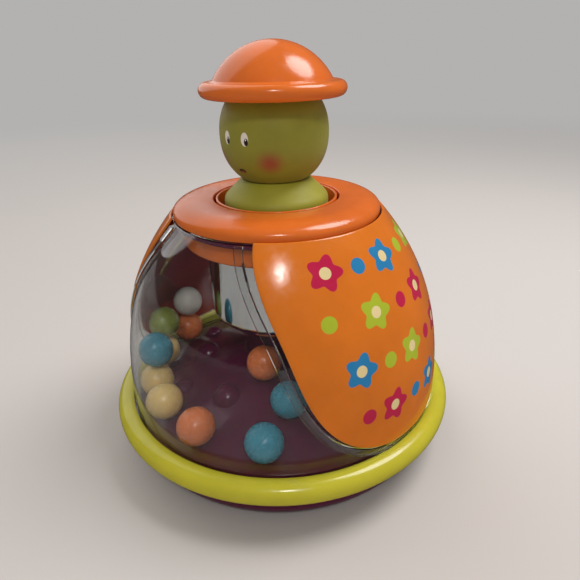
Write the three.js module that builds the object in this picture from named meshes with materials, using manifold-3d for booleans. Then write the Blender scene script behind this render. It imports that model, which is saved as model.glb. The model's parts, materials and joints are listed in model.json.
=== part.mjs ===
// A press-and-spin ball popper: pressing the head turns a twisted spindle, which spins a cone of
// kicker bumps under a clear dome, so that loose balls are swept round and hop.
// Millimetres, +Z up, origin on the ground under the axis. The face looks along -Y, and the wings lie
// on +X and -X.
import * as THREE from "three";
import { mergeVertices } from "three/addons/utils/BufferGeometryUtils.js";
import Module from "manifold-3d";

const wasm = await Module();
wasm.setup();

// Fits
const seat = 0.3; // gap between two faces that are clamped or stand on each other
const running = 0.4; // radial gap round pieces that turn or slide
const screwPlay = 0.3; // radial gap round a screw's shank

// Base pan
const panInset = 1; // pan's side inside the edge of the flanges above it
const panHeight = 17.6;
const panBelly = 14; // height at which the rounded side reaches the full radius
const panCurve = 14.5; // width of the rounded side, from the flat foot to the full radius
const panFootWidth = 18.5; // flat ring that it stands on
const panRecess = 1.5; // how far the middle of the underside stays off the ground
const panWall = 2.4;
const panRim = 2.5; // how far the rim flange stands out
const panRimThickness = 1.8;

// Bumper ring round the base
const bumperWall = 6.2; // from the groove to the outside
const bumperTube = 5.75;
const bumperLip = 1.35; // wall under the groove that holds the flanges
const bumperGap = 0.8; // open gap between the ring and the dome

// Tray under the spinner, with the post that the spinner turns on
const trayThickness = 1.8;
const postRadius = 8;
const postHeight = 23;
const shoulderRadius = 12;
const shoulderHeight = 4.6;
const pivotRadius = 4;
const pivotFloor = 1; // left under the pivot hole

// Clear dome
const domeRadius = 83;
const domeNeck = 51.4; // outer radius at the top
const domeHeight = 100.5; // from the flange to the top
const domePower = 2.75; // how late the side turns inwards
const domeWall = 2.2;
const domeFlange = 2;
const domeFlangeWidth = 3; // flanges of dome and tray, held in the bumper's groove
const domeMouth = 47.2; // radius of the opening under the cap

// Wings and the raised rim of the dome that frames them, as seen from the side
const wingThickness = 2.3;
const wingCrest = 1.015; // how far the wing runs past the dome's top, as a share of the dome's height
const wingHalfWidth = 55.2;
const wingMiddle = 92; // height of the widest point
const wingDrop = 60.5; // from the widest point to the lowest one
const wingRise = 52; // reach of the upper half of the outline
const wingPower = 2.8; // squareness of the outline
const rimWidth = 4.5;
const rimHeight = 1.5;

// Cap, retainer, guide sleeve and mirror column, which hang in the dome's mouth
const capRadius = 51;
const capHeight = 7;
const capFlat = 41; // radius at which the top starts to round over
const capSide = 2; // straight height of the rim
const capWall = 2.6;
const capHole = 31;
const retainerRadius = 46.6;
const retainerHeight = 11.5;
const retainerWall = 1.8;
const retainerFloor = 2.4;
const beadRadius = 49.6;
const beadThickness = 2;
const columnRadius = 36;
const columnWall = 1.6;
const columnClear = 4.9; // free height between the spinner's hub and the column's foot
const columnCorner = 5;
const stackFlange = 1.8; // thickness of the column's and the sleeve's flanges
const stackRadius = 44.3;
const sleeveInner = 28.6;
const sleeveWall = 1.3;
const sleeveMargin = 3; // how far the sleeve reaches past the pressed plunger
const stopThickness = 2;
const keyCount = 3; // ribs that keep the plunger from turning
const keyWidth = 2.4;
const keyDepth = 1.4;
const bushRadius = 7;
const bushFlange = 9;
const bushFlangeThickness = 1.2;

// Plunger: core, collar, head and hat
const stroke = 28;
const plungerFlange = 3;
const stemRadius = 10;
const stemBore = 6.6;
const stemHeight = 57;
const plateRadius = 20;
const plateThickness = 3.2;
const collarRadius = 25.6;
const collarStraight = 13.7;
const collarRise = 9;
const collarNeck = 15.5;
const collarWall = 2.4;
const headRadius = 25.6;
const headHalfHeight = 25;
const headPower = 2.2;
const headFoot = 20.4; // from the head's middle down to its flat foot
const headTop = 22.6; // from the head's middle up to its flat top, inside the hat
const brimRadius = 33.8;
const brimTube = 3.4;
const brimHeight = 19.1; // brim above the head's middle
const crownRadius = 27.5;
const crownHeight = 20.1; // crown above the middle of the brim
const hatMouth = 20.9;
const hatWall = 2.6;
const hatPeg = 14; // how deep the hat's peg goes into the stem

// Twisted spindle, ratchet and return spring
const helixLead = 60; // one turn of the spindle for each 60 mm of travel
const barWidth = 8;
const barThickness = 3;
const barPlay = 0.35;
const twistMargin = 3; // twisted length past each end of the drive plate's travel
const ratchetInner = 9.6;
const ratchetOuter = 15.6;
const ratchetBody = 2.2;
const ratchetTeeth = 8;
const toothHeight = 2.2;
const toothShare = 0.85; // of the pitch at the ring's bore
const toothInset = 0.8; // teeth stay this far inside the ring's edges
const toothGap = 0.5; // the teeth stand clear until the plunger is pressed
const driverBody = 3;
const springRadius = 11.5;
const springWire = 1.6;
const springTurns = 6;

// Spinner cone
const spinnerGap = 3.3; // between the spinner's edge and the dome
const spinnerLift = 0.85; // rim above the tray
const spinnerThickness = 2.2;
const spinnerSlope = THREE.MathUtils.degToRad(20);
const hubRadius = 20;
const hubWall = 3.5;
const hubHeight = 13; // barrel above the cone
const hubCoverThickness = 2.4;
const hubCoverRise = 3;
const washerThickness = 1.4;
const bearingWall = 3.2;
const bearingLength = 14;
const bearingSeat = 2.4; // wall of the spinner round its bearing
const kickerCount = 6; // bumps in each ring
const innerKickerIn = 33.5; // inner ring of bumps, measured in from the spinner's edge
const innerKickerBall = 8;
const innerKickerHeight = 5;
const outerKickerIn = 20.5;
const outerKickerBall = 6.5;
const outerKickerHeight = 3.5;
const kickerTurn = THREE.MathUtils.degToRad(2); // first inner bump, from the face towards +X

// Loose balls
const ballRadius = 9.2;
const ballGap = 0.35;
const ballWallGap = 1;
const upperInset = 2; // upper balls lean this much further in, because the dome narrows
const rimStart = 35; // azimuth of the first ball, from the face towards +X
const strayIn = 20.6; // loose ball on the cone, in from those at the wall

// Screws
const screwShank = 1.5;
const screwHead = 3;
const screwHeadHeight = 1.7;
const baseScrewCount = 6;
const baseScrewStart = THREE.MathUtils.degToRad(30);
const baseBoss = 5.4;
const baseBossHeight = 10.6; // top of the pan's bosses above the ground, less the recess
const baseBossFloor = 2.4;
const trayBoss = 4.4;
const capScrewCircle = 40.3;
const capScrewCount = 4;
const capPost = 3.6;
const capPostHoleDepth = 7;
const plateScrewCircle = 16.4;
const plateScrewCount = 3;
const plateScrewHead = 2.4;
const plateScrewHole = 2.5; // depth in the drive plate

// Facets round a full turn
const broad = 32;
const medium = 20;
const fine = 12;
const tiny = 8;

// Radii that follow from the sizes above
const flangeRadius = domeRadius + domeFlangeWidth;
const bumperRadius = flangeRadius + seat + bumperWall;
const panRadius = flangeRadius - panInset;
const panFootOuter = panRadius - panCurve;
const panFootInner = panFootOuter - panFootWidth;
const baseScrewCircle = panFootOuter - panFootWidth / 2;
const spinnerRadius = domeRadius - domeWall - spinnerGap;
const sleeveOuter = sleeveInner + sleeveWall;

// Heights that follow from the sizes above
const bumperCentre = panHeight + seat + bumperTube;
const trayBottom = panHeight + seat + bumperLip + seat;
const trayTop = trayBottom + trayThickness;
const domeFlangeBottom = trayTop + seat;
const domeBase = domeFlangeBottom + domeFlange;
const domeTop = domeBase + domeHeight;
const capBottom = domeTop + seat;
const capTop = capBottom + capHeight;
const mouthUnder = domePoint(1, -domeWall).y;
const retainerTop = mouthUnder - seat;
const retainerBottom = retainerTop - retainerHeight;
const columnFlangeBottom = retainerBottom + retainerFloor + seat;
const sleeveFlangeBottom = columnFlangeBottom + stackFlange + seat;
const sleeveFlangeTop = sleeveFlangeBottom + stackFlange;
const stopBottom = sleeveFlangeTop + seat;
const plungerTop = stopBottom - seat;
const plungerBottom = plungerTop - plungerFlange;
const plateTop = plungerBottom - seat;
const plateBottom = plateTop - plateThickness;
const sleeveBottom = plungerBottom - stroke - sleeveMargin;
const collarBottom = plungerTop + seat;
const collarShoulder = collarBottom + collarStraight;
const collarTop = collarShoulder + collarRise;
const headMiddle = collarTop + seat + headFoot;
const brimMiddle = headMiddle + brimHeight;
const hatTop = brimMiddle + crownHeight;
const postTop = trayTop + postHeight;
const shoulderTop = trayTop + shoulderHeight;
const bearingBottom = shoulderTop + seat + washerThickness + seat;
const bearingTop = bearingBottom + bearingLength;
const spinnerEdge = trayTop + spinnerLift + spinnerThickness;
const hubFloor = bearingTop + bearingSeat;
const hubTop = spinnerSurface(hubRadius) + hubHeight;
const hubCoverTop = hubTop + seat + hubCoverThickness + hubCoverRise;
const columnBottom = hubCoverTop + columnClear;
const columnFloor = columnBottom + columnWall;
const ratchetBottom = hubFloor + seat;
const ratchetTip = ratchetBottom + ratchetBody + toothHeight;
const driverTip = ratchetTip + toothGap;
const driverTop = driverTip + toothHeight + driverBody;
const twistTop = plateTop + twistMargin;
const twistBottom = plateBottom - stroke - twistMargin;

// A point (radius, height) of the dome's meridian, moved along its outward normal.
// Share runs from 0 at the flange to 1 at the top.
function domePoint(share, offset) {
  const fall = domeRadius - domeNeck;
  const lean = (fall * domePower * share ** (domePower - 1)) / domeHeight;
  const normal = new THREE.Vector2(1, lean).normalize();
  const radius = domeRadius - fall * share ** domePower;
  const height = domeBase + domeHeight * share;
  return new THREE.Vector2(radius + normal.x * offset, height + normal.y * offset);
}

// The dome's meridian from one share of its height to another, at an offset.
function domeCurve(from, to, offset, steps) {
  const points = [];
  for (let i = 0; i <= steps; i++) points.push(domePoint(from + ((to - from) * i) / steps, offset));
  return points;
}

// Height of the spinner's upper face at a radius.
function spinnerSurface(radius) {
  return spinnerEdge + (spinnerRadius - radius) * Math.tan(spinnerSlope);
}

// A round stretch of a profile: part of an ellipse, angles in degrees.
function arc(r, z, rRadius, zRadius, from, to, steps) {
  const clockwise = to < from;
  const curve = new THREE.EllipseCurve(
    r, z, rRadius, zRadius, THREE.MathUtils.degToRad(from), THREE.MathUtils.degToRad(to), clockwise,
  );
  return curve.getPoints(steps);
}

const at = (r, z) => new THREE.Vector2(r, z);

// A geometry as a solid, with its shared vertices merged.
function toSolid(geometry) {
  const bare = geometry.clone();
  bare.deleteAttribute("normal");
  bare.deleteAttribute("uv");
  const merged = mergeVertices(bare, 1e-4);
  const vertProperties = merged.attributes.position.array;
  const triVerts = new Uint32Array(merged.index.array);
  return new wasm.Manifold(new wasm.Mesh({ numProp: 3, vertProperties, triVerts }));
}

// A solid as a geometry again.
function toGeometry(solid) {
  const mesh = solid.getMesh();
  const geometry = new THREE.BufferGeometry();
  geometry.setAttribute("position", new THREE.BufferAttribute(mesh.vertProperties, 3));
  geometry.setIndex(new THREE.BufferAttribute(mesh.triVerts, 1));
  geometry.computeVertexNormals();
  return geometry;
}

// A closed outline of (radius, height) points, in either direction, turned about the Z axis.
function turned(profile, facets) {
  const points = THREE.ShapeUtils.area(profile) > 0 ? profile : [...profile].reverse();
  const geometry = new THREE.LatheGeometry([...points, points[0]], facets);
  return toSolid(geometry.rotateX(Math.PI / 2));
}

// A straight round bar or, with an inner radius, a tube, between two heights.
function bar(radius, bottom, top, facets, inner = 0) {
  return turned([at(inner, bottom), at(radius, bottom), at(radius, top), at(inner, top)], facets);
}

// A flat outline drawn in Y and Z, as long as needed along X.
function sideways(shape, from, to) {
  const geometry = new THREE.ExtrudeGeometry(shape, { depth: to - from, bevelEnabled: false, curveSegments: 1 });
  const turn = new THREE.Matrix4().makeBasis(
    new THREE.Vector3(0, 1, 0), new THREE.Vector3(0, 0, 1), new THREE.Vector3(1, 0, 0),
  );
  return toSolid(geometry.applyMatrix4(turn).translate(from, 0, 0));
}

// Places on a circle round the axis, as [x, y, angle].
function around(count, radius, start = 0) {
  return Array.from({ length: count }, (_, i) => {
    const angle = start + (i * 2 * Math.PI) / count;
    return [radius * Math.cos(angle), radius * Math.sin(angle), angle];
  });
}

// Copies of a solid at such places.
function copies(solid, places) {
  return places.map(([x, y]) => solid.translate([x, y, 0]));
}

const join = (first, ...others) => others.reduce((sum, other) => sum.add(other), first);
const cut = (first, ...others) => others.reduce((rest, other) => rest.subtract(other), first);

// A pan-head screw with its head's underside at height 0, pointing up.
function screw(length, headRadius) {
  return turned(
    [
      at(0, -screwHeadHeight), at(headRadius * 0.8, -screwHeadHeight), at(headRadius, 0), at(screwShank, 0),
      at(screwShank, length - screwShank), at(0, length),
    ],
    tiny,
  );
}

// Base

const baseScrewPlaces = around(baseScrewCount, baseScrewCircle, baseScrewStart);
const baseBossTop = panRecess + baseBossHeight;
const baseScrewSeat = baseBossTop - baseBossFloor - seat;
const trayBossBottom = baseBossTop + seat;
const baseScrewLength = trayBottom - baseScrewSeat;

function basePan() {
  const floor = panRecess + panWall;
  const inner = panRadius - panWall;
  const shell = turned(
    [
      at(0, panRecess), at(panFootInner - panRecess, panRecess), at(panFootInner, 0), at(panFootOuter, 0),
      ...arc(panFootOuter, panBelly, panCurve, panBelly, -90, 0, 5).slice(1),
      at(panRadius, panHeight - panRimThickness), at(panRadius + panRim, panHeight - panRimThickness),
      at(panRadius + panRim, panHeight), at(inner, panHeight),
      ...arc(panFootOuter, panBelly, inner - panFootOuter, panBelly - panWall, 0, -90, 3),
      at(panFootInner, panWall), at(panFootInner - panRecess, floor), at(0, floor),
    ],
    broad,
  );
  const boss = bar(baseBoss, panWall / 2, baseBossTop, tiny);
  const centre = bar(shoulderRadius, panRecess + panWall / 2, trayBottom - seat, fine);
  const recess = bar(screwHead + running, -1, baseBossTop - baseBossFloor, tiny);
  const hole = bar(screwShank + screwPlay, 0, baseBossTop + 1, tiny);
  return cut(
    join(shell, centre, ...copies(boss, baseScrewPlaces)),
    ...copies(recess, baseScrewPlaces), ...copies(hole, baseScrewPlaces),
  );
}

function bumperRing() {
  const middle = bumperRadius - bumperTube;
  const tube = turned(arc(middle, bumperCentre, bumperTube, bumperTube, 0, 360, 12).slice(1), broad);
  const wall = domeRadius + bumperGap;
  const groove = flangeRadius + seat;
  const below = bumperCentre - 2 * bumperTube;
  const above = bumperCentre + 2 * bumperTube;
  const core = turned(
    [
      at(0, below), at(wall, below), at(wall, trayBottom - seat), at(groove, trayBottom - seat),
      at(groove, domeBase + seat), at(wall, domeBase + seat), at(wall, above), at(0, above),
    ],
    broad,
  );
  return tube.subtract(core);
}

function floorTray() {
  const plate = turned(
    [
      at(0, trayBottom), at(flangeRadius, trayBottom), at(flangeRadius, trayTop), at(shoulderRadius, trayTop),
      at(shoulderRadius, shoulderTop), at(postRadius, shoulderTop), at(postRadius, postTop), at(0, postTop),
    ],
    broad,
  );
  const pivot = bar(pivotRadius + running, trayBottom + pivotFloor, postTop + 1, fine);
  const boss = bar(trayBoss, trayBossBottom, trayBottom + trayThickness / 2, tiny);
  const hole = bar(screwShank + screwPlay, trayBossBottom - 1, trayBottom + seat, tiny);
  return cut(join(plate, ...copies(boss, baseScrewPlaces)), pivot, ...copies(hole, baseScrewPlaces));
}

// Dome and wings

// The wing's outline from the side, widened all round.
function wingOutline(grow) {
  const points = [];
  const steps = 24;
  for (let i = 0; i < steps; i++) {
    const angle = (i * 2 * Math.PI) / steps;
    const across = Math.sign(Math.cos(angle)) * Math.abs(Math.cos(angle)) ** (2 / wingPower);
    const up = Math.sign(Math.sin(angle)) * Math.abs(Math.sin(angle)) ** (2 / wingPower);
    const reach = up < 0 ? wingDrop : wingRise;
    points.push(at(across * (wingHalfWidth + grow), wingMiddle + up * (reach + grow)));
  }
  return points;
}

// The part of the dome's wall between two offsets, from one share of the height to another.
function domeLayer(inside, outside, from, to) {
  return turned([...domeCurve(from, to, outside, 7), ...domeCurve(to, from, inside, 7)], broad);
}

const reachX = bumperRadius + 10;

function wing() {
  const lowest = (wingMiddle - wingDrop - 2 * wingThickness - domeBase) / domeHeight;
  const layer = domeLayer(seat, seat + wingThickness, Math.max(lowest, 0), wingCrest);
  const outline = sideways(new THREE.Shape(wingOutline(0)), 0, reachX);
  const capRoom = bar(capRadius + running, domeTop - capHeight, capTop + capHeight, broad);
  return layer.intersect(outline).subtract(capRoom);
}

function clearDome() {
  const shell = turned(
    [
      at(domeRadius - domeWall, domeFlangeBottom), at(flangeRadius, domeFlangeBottom),
      at(flangeRadius, domeBase), ...domeCurve(0, 1, 0, 7), at(domeMouth, domeTop),
      at(domeMouth, mouthUnder), ...domeCurve(1, 0, -domeWall, 7),
    ],
    broad,
  );
  const rimFoot = (bumperCentre + bumperTube + running - domeBase) / domeHeight;
  const rimHead = 1 - (2 * rimHeight) / domeHeight;
  const layer = domeLayer(-domeWall / 2, rimHeight, rimFoot, rimHead);
  const frame = new THREE.Shape(wingOutline(running + rimWidth));
  frame.holes.push(new THREE.Path(wingOutline(running)));
  return shell.add(layer.intersect(sideways(frame, -reachX, reachX)));
}

// Cap and what hangs from it

const capScrewPlaces = around(capScrewCount, capScrewCircle, Math.PI / capScrewCount);
const capPostBottom = sleeveFlangeTop + seat;
const capScrewLength = capPostBottom - retainerBottom + seat + capPostHoleDepth - 1;

function topCap() {
  const side = capBottom + capSide;
  const under = capTop - capWall;
  const inner = capRadius - capWall;
  const plate = turned(
    [
      at(capHole, under), at(capHole, capTop),
      ...arc(capFlat, side, capRadius - capFlat, capTop - side, 90, 0, 4),
      at(capRadius, capBottom), at(inner, capBottom),
      ...arc(capFlat, side, inner - capFlat, under - side, 0, 90, 2),
    ],
    broad,
  );
  const post = bar(capPost, capPostBottom, capTop - capWall / 2, tiny);
  const hole = bar(screwShank + screwPlay, capPostBottom - 1, capPostBottom + capPostHoleDepth, tiny);
  return cut(join(plate, ...copies(post, capScrewPlaces)), ...copies(hole, capScrewPlaces));
}

function capRetainer() {
  const inner = retainerRadius - retainerWall;
  const mouth = columnRadius + running;
  const ring = turned(
    [
      at(mouth, retainerBottom), at(retainerRadius, retainerBottom),
      at(retainerRadius, retainerTop - beadThickness), at(beadRadius, retainerTop - beadThickness),
      at(beadRadius, retainerTop), at(inner, retainerTop),
      at(inner, retainerBottom + retainerFloor), at(mouth, retainerBottom + retainerFloor),
    ],
    broad,
  );
  const hole = bar(screwShank + screwPlay, retainerBottom - 1, retainerTop, tiny);
  return cut(ring, ...copies(hole, capScrewPlaces));
}

function mirrorColumn() {
  const inner = columnRadius - columnWall;
  const corner = columnCorner - columnWall;
  const cornerRadius = columnRadius - columnCorner;
  const cornerHeight = columnBottom + columnCorner;
  const hole = bushRadius + seat;
  const top = columnFlangeBottom + stackFlange;
  const cup = turned(
    [
      at(hole, columnBottom), ...arc(cornerRadius, cornerHeight, columnCorner, columnCorner, -90, 0, 4),
      at(columnRadius, columnFlangeBottom), at(stackRadius, columnFlangeBottom),
      at(stackRadius, top), at(inner, top),
      ...arc(cornerRadius, cornerHeight, corner, corner, 0, -90, 3), at(hole, columnFloor),
    ],
    medium,
  );
  const screwHole = bar(screwShank + screwPlay, columnFlangeBottom - 1, top + 1, tiny);
  return cut(cup, ...copies(screwHole, capScrewPlaces));
}

// Ribs or slots round the sleeve's bore, from a given radius outwards.
function keys(width, from, bottom, top) {
  const key = toSolid(new THREE.BoxGeometry(sleeveOuter - from, width, top - bottom));
  const middle = key.translate([(sleeveOuter + from) / 2 - sleeveWall / 2, 0, (top + bottom) / 2]);
  return around(keyCount, 1).map(([, , angle]) => middle.rotate([0, 0, THREE.MathUtils.radToDeg(angle)]));
}

function guideSleeve() {
  const stop = collarRadius + running;
  const tube = turned(
    [
      at(sleeveInner, sleeveBottom), at(sleeveOuter, sleeveBottom), at(sleeveOuter, sleeveFlangeBottom),
      at(stackRadius, sleeveFlangeBottom), at(stackRadius, sleeveFlangeTop), at(sleeveOuter, sleeveFlangeTop),
      at(sleeveOuter, capTop), at(sleeveInner, capTop), at(sleeveInner, stopBottom + stopThickness),
      at(stop, stopBottom + stopThickness), at(stop, stopBottom), at(sleeveInner, stopBottom),
    ],
    broad,
  );
  const hole = bar(screwShank + screwPlay, sleeveFlangeBottom - 1, sleeveFlangeTop + 1, tiny);
  const ribs = keys(keyWidth, sleeveInner - keyDepth, sleeveBottom, stopBottom + stopThickness / 2);
  return cut(join(tube, ...ribs), ...copies(hole, capScrewPlaces));
}

function spindleBush() {
  const bore = pivotRadius + running;
  return turned(
    [
      at(bore, columnBottom), at(bushRadius, columnBottom), at(bushRadius, columnFloor + seat),
      at(bushFlange, columnFloor + seat), at(bushFlange, columnFloor + seat + bushFlangeThickness),
      at(bore, columnFloor + seat + bushFlangeThickness),
    ],
    fine,
  );
}

// Plunger

const plateScrewPlaces = around(plateScrewCount, plateScrewCircle, Math.PI / plateScrewCount);
const plateScrewLength = plungerFlange + plateScrewHole;

function plungerCore() {
  const disc = sleeveInner - running;
  const body = turned(
    [
      at(stemBore, plungerBottom), at(disc, plungerBottom), at(disc, plungerTop), at(stemRadius, plungerTop),
      at(stemRadius, plungerTop + stemHeight), at(stemBore, plungerTop + stemHeight),
    ],
    medium,
  );
  const slots = keys(keyWidth + 2 * running, sleeveInner - keyDepth - running, plungerBottom - 1, plungerTop + 1);
  const hole = bar(screwShank + screwPlay, plungerBottom - 1, plungerTop + 1, tiny);
  return cut(body, ...slots, ...copies(hole, plateScrewPlaces));
}

// A flat bar twisted about the Z axis, right-handed, turned so that it meets its slot at any height.
function twistedBar(width, thickness, bottom, top) {
  const steps = Math.ceil((top - bottom) / (helixLead / 24));
  const corners = [[1, 1], [-1, 1], [-1, -1], [1, -1]];
  const positions = [];
  for (let i = 0; i <= steps; i++) {
    const z = bottom + ((top - bottom) * i) / steps;
    const angle = (2 * Math.PI * z) / helixLead;
    for (const [side, face] of corners) {
      const x = (side * width) / 2;
      const y = (face * thickness) / 2;
      positions.push(x * Math.cos(angle) - y * Math.sin(angle), x * Math.sin(angle) + y * Math.cos(angle), z);
    }
  }
  const triangles = [0, 2, 1, 0, 3, 2];
  for (let i = 0; i < steps; i++) {
    for (let c = 0; c < 4; c++) {
      const a = i * 4 + c;
      const b = i * 4 + ((c + 1) % 4);
      triangles.push(a, b, b + 4, a, b + 4, a + 4);
    }
  }
  const last = steps * 4;
  triangles.push(last, last + 1, last + 2, last, last + 2, last + 3);
  const geometry = new THREE.BufferGeometry();
  geometry.setAttribute("position", new THREE.Float32BufferAttribute(positions, 3));
  geometry.setIndex(triangles);
  return toSolid(geometry);
}

function drivePlate() {
  const plate = bar(plateRadius, plateBottom, plateTop, medium);
  const slot = twistedBar(barWidth + 2 * barPlay, barThickness + 2 * barPlay, plateBottom - 1, plateTop + 1);
  const hole = bar(screwShank + screwPlay, plateTop - plateScrewHole, plateTop + 1, tiny);
  return cut(plate, slot, ...copies(hole, plateScrewPlaces));
}

function collar() {
  const inner = collarRadius - collarWall;
  const bore = stemRadius + seat;
  const outerReach = collarRadius - collarNeck;
  return turned(
    [
      at(inner, collarBottom), at(collarRadius, collarBottom),
      ...arc(collarNeck, collarShoulder, outerReach, collarRise, 0, 90, 5),
      at(bore, collarTop), at(bore, collarTop - collarWall),
      ...arc(collarNeck, collarShoulder, outerReach - collarWall, collarRise - collarWall, 90, 0, 3),
    ],
    medium,
  );
}

// Radius of the rounded head at a height above its middle.
function headAt(height) {
  return headRadius * (1 - Math.abs(height / headHalfHeight) ** headPower) ** (1 / headPower);
}

function head() {
  const bore = stemRadius + seat;
  const steps = 10;
  const side = [];
  for (let i = 0; i <= steps; i++) {
    const height = -headFoot + ((headFoot + headTop) * i) / steps;
    side.push(at(headAt(height), headMiddle + height));
  }
  return turned([at(bore, headMiddle - headFoot), ...side, at(bore, headMiddle + headTop)], medium);
}

function hat() {
  const brimTop = brimMiddle + brimTube;
  const tubeCentre = brimRadius - brimTube;
  const ball = (crownRadius ** 2 + (hatTop - brimTop) ** 2) / (2 * (hatTop - brimTop));
  const open = THREE.MathUtils.radToDeg(Math.acos(crownRadius / ball));
  const ballCentre = hatTop - ball;
  const peg = stemBore - seat;
  const pegBottom = plungerTop + stemHeight - hatPeg;
  const roof = ball - hatWall;
  const innerOpen = THREE.MathUtils.radToDeg(Math.acos(hatMouth / roof));
  const pegAngle = THREE.MathUtils.radToDeg(Math.acos(peg / roof));
  return turned(
    [
      at(0, pegBottom), at(peg, pegBottom), ...arc(0, ballCentre, roof, roof, pegAngle, innerOpen, 3),
      at(hatMouth, brimMiddle - brimTube * 0.8), at(tubeCentre - brimTube, brimMiddle - brimTube),
      ...arc(tubeCentre, brimMiddle, brimTube, brimTube, -90, 90, 5),
      ...arc(0, ballCentre, ball, ball, open, 90, 5),
    ],
    broad,
  );
}

// Spinner and its drive

function spinnerDisc() {
  const skin = spinnerThickness / Math.cos(spinnerSlope);
  const floorReach = spinnerRadius - (bearingTop + skin - spinnerEdge) / Math.tan(spinnerSlope);
  const bearingHole = postRadius + running + bearingWall + seat;
  const bearingWallOuter = bearingHole + bearingSeat;
  const barrel = hubRadius - hubWall;
  const cone = turned(
    [
      at(bearingHole, bearingBottom), at(bearingWallOuter, bearingBottom), at(bearingWallOuter, bearingTop),
      at(floorReach, bearingTop), at(spinnerRadius, spinnerEdge - skin), at(spinnerRadius, spinnerEdge),
      at(hubRadius, spinnerSurface(hubRadius)), at(hubRadius, hubTop),
      at(barrel, hubTop), at(barrel, hubFloor), at(postRadius + running, hubFloor),
      at(postRadius + running, bearingTop + seat), at(bearingHole, bearingTop + seat),
    ],
    broad,
  );
  const kicker = (inset, ball, height, turn) => {
    const radius = spinnerRadius - inset;
    const centre = spinnerSurface(radius) + height - ball;
    const dome = turned([at(0, centre - ball / 2), ...arc(0, centre, ball, ball, 10, 90, 2)], tiny);
    return copies(dome, around(kickerCount, radius, turn - Math.PI / 2));
  };
  const bumps = [
    ...kicker(innerKickerIn, innerKickerBall, innerKickerHeight, kickerTurn),
    ...kicker(outerKickerIn, outerKickerBall, outerKickerHeight, kickerTurn + Math.PI / kickerCount),
  ];
  const hubSkin = spinnerSurface(hubRadius) - spinnerThickness / 2;
  const belowSkin = turned(
    [
      at(0, 0), at(spinnerRadius, 0), at(spinnerRadius, spinnerEdge - spinnerThickness / 2),
      at(hubRadius, hubSkin), at(0, hubSkin),
    ],
    broad,
  );
  return join(cone, ...bumps.map((bump) => bump.subtract(belowSkin)));
}

function hubCover() {
  const shaft = pivotRadius + running;
  const bottom = hubTop + seat;
  const shoulder = bottom + hubCoverThickness;
  return turned(
    [
      at(shaft, bottom), at(hubRadius, bottom), at(hubRadius, shoulder),
      ...arc(hubRadius - hubCoverRise, shoulder, hubCoverRise, hubCoverRise, 0, 90, 3),
      at(shaft, hubCoverTop),
    ],
    medium,
  );
}

// Saw teeth round a ring: upright on one side and sloping on the other, standing on height 0.
function sawTeeth() {
  const half = (Math.PI * ratchetInner * toothShare) / ratchetTeeth;
  const root = -ratchetBody / 2;
  const tooth = new THREE.Shape([at(-half, root), at(half, root), at(half, 0), at(-half, toothHeight)]);
  const blade = sideways(tooth, ratchetInner + toothInset, ratchetOuter - toothInset);
  return around(ratchetTeeth, 1).map(([, , angle]) => blade.rotate([0, 0, THREE.MathUtils.radToDeg(angle)]));
}

function ratchetRing() {
  const ring = bar(ratchetOuter, 0, ratchetBody, medium, ratchetInner);
  const teeth = sawTeeth().map((tooth) => tooth.translate([0, 0, ratchetBody]));
  return join(ring, ...teeth).translate([0, 0, ratchetBottom]);
}

function twistSpindle() {
  const pivot = trayBottom + pivotFloor + seat;
  const shaft = bar(pivotRadius, pivot, twistBottom + 1, fine);
  const twist = twistedBar(barWidth, barThickness, twistBottom, twistTop);
  return shaft.add(twist);
}

function clutchDriver() {
  const bore = pivotRadius + seat;
  const disc = bar(ratchetOuter, driverTip + toothHeight, driverTop, medium, bore);
  const teeth = sawTeeth().map((tooth) => tooth.rotate([180, 0, 0]).translate([0, 0, driverTip + toothHeight]));
  return join(disc, ...teeth);
}

function bearing() {
  return bar(postRadius + running + bearingWall, bearingBottom, bearingTop, medium, postRadius + running);
}

function thrustWasher() {
  const bottom = shoulderTop + seat;
  return bar(shoulderRadius, bottom, bottom + washerThickness, medium, postRadius + running);
}

// Open coil that pushes the plunger up: one round wire whose end turns lie close.
function returnSpring() {
  const bottom = columnFloor + seat + springWire / 2;
  const top = plateBottom - seat - springWire / 2;
  const stepsPerTurn = 8;
  const sides = 5;
  const steps = springTurns * stepsPerTurn;
  const wire = springWire / 2;
  const centres = [];
  const positions = [];
  for (let i = 0; i <= steps; i++) {
    const angle = (2 * Math.PI * i) / stepsPerTurn;
    const z = bottom + ((top - bottom) * i) / steps;
    const out = new THREE.Vector3(Math.cos(angle), Math.sin(angle), 0);
    const centre = out.clone().multiplyScalar(springRadius).setZ(z);
    centres.push(centre);
    for (let s = 0; s < sides; s++) {
      const round = (2 * Math.PI * s) / sides;
      const point = centre.clone().addScaledVector(out, wire * Math.cos(round));
      positions.push(point.x, point.y, point.z + wire * Math.sin(round));
    }
  }
  const triangles = [];
  for (let i = 0; i < steps; i++) {
    for (let s = 0; s < sides; s++) {
      const a = i * sides + s;
      const b = i * sides + ((s + 1) % sides);
      triangles.push(a, a + sides, b + sides, a, b + sides, b);
    }
  }
  for (let s = 1; s < sides - 1; s++) {
    const last = steps * sides;
    triangles.push(0, s, s + 1, last, last + s + 1, last + s);
  }
  const geometry = new THREE.BufferGeometry();
  geometry.setAttribute("position", new THREE.Float32BufferAttribute(positions, 3));
  geometry.setIndex(triangles);
  let least = Infinity;
  centres.forEach((a, i) => centres.slice(i + stepsPerTurn / 2).forEach((b) => {
    least = Math.min(least, a.distanceTo(b) - springWire);
  }));
  console.log(`return spring: least gap between turns ${least.toFixed(2)} mm`);
  return toSolid(geometry);
}

// Materials

function plastic(color, roughness, extra = {}) {
  return new THREE.MeshStandardMaterial({ color, roughness, metalness: 0, ...extra });
}

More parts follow.
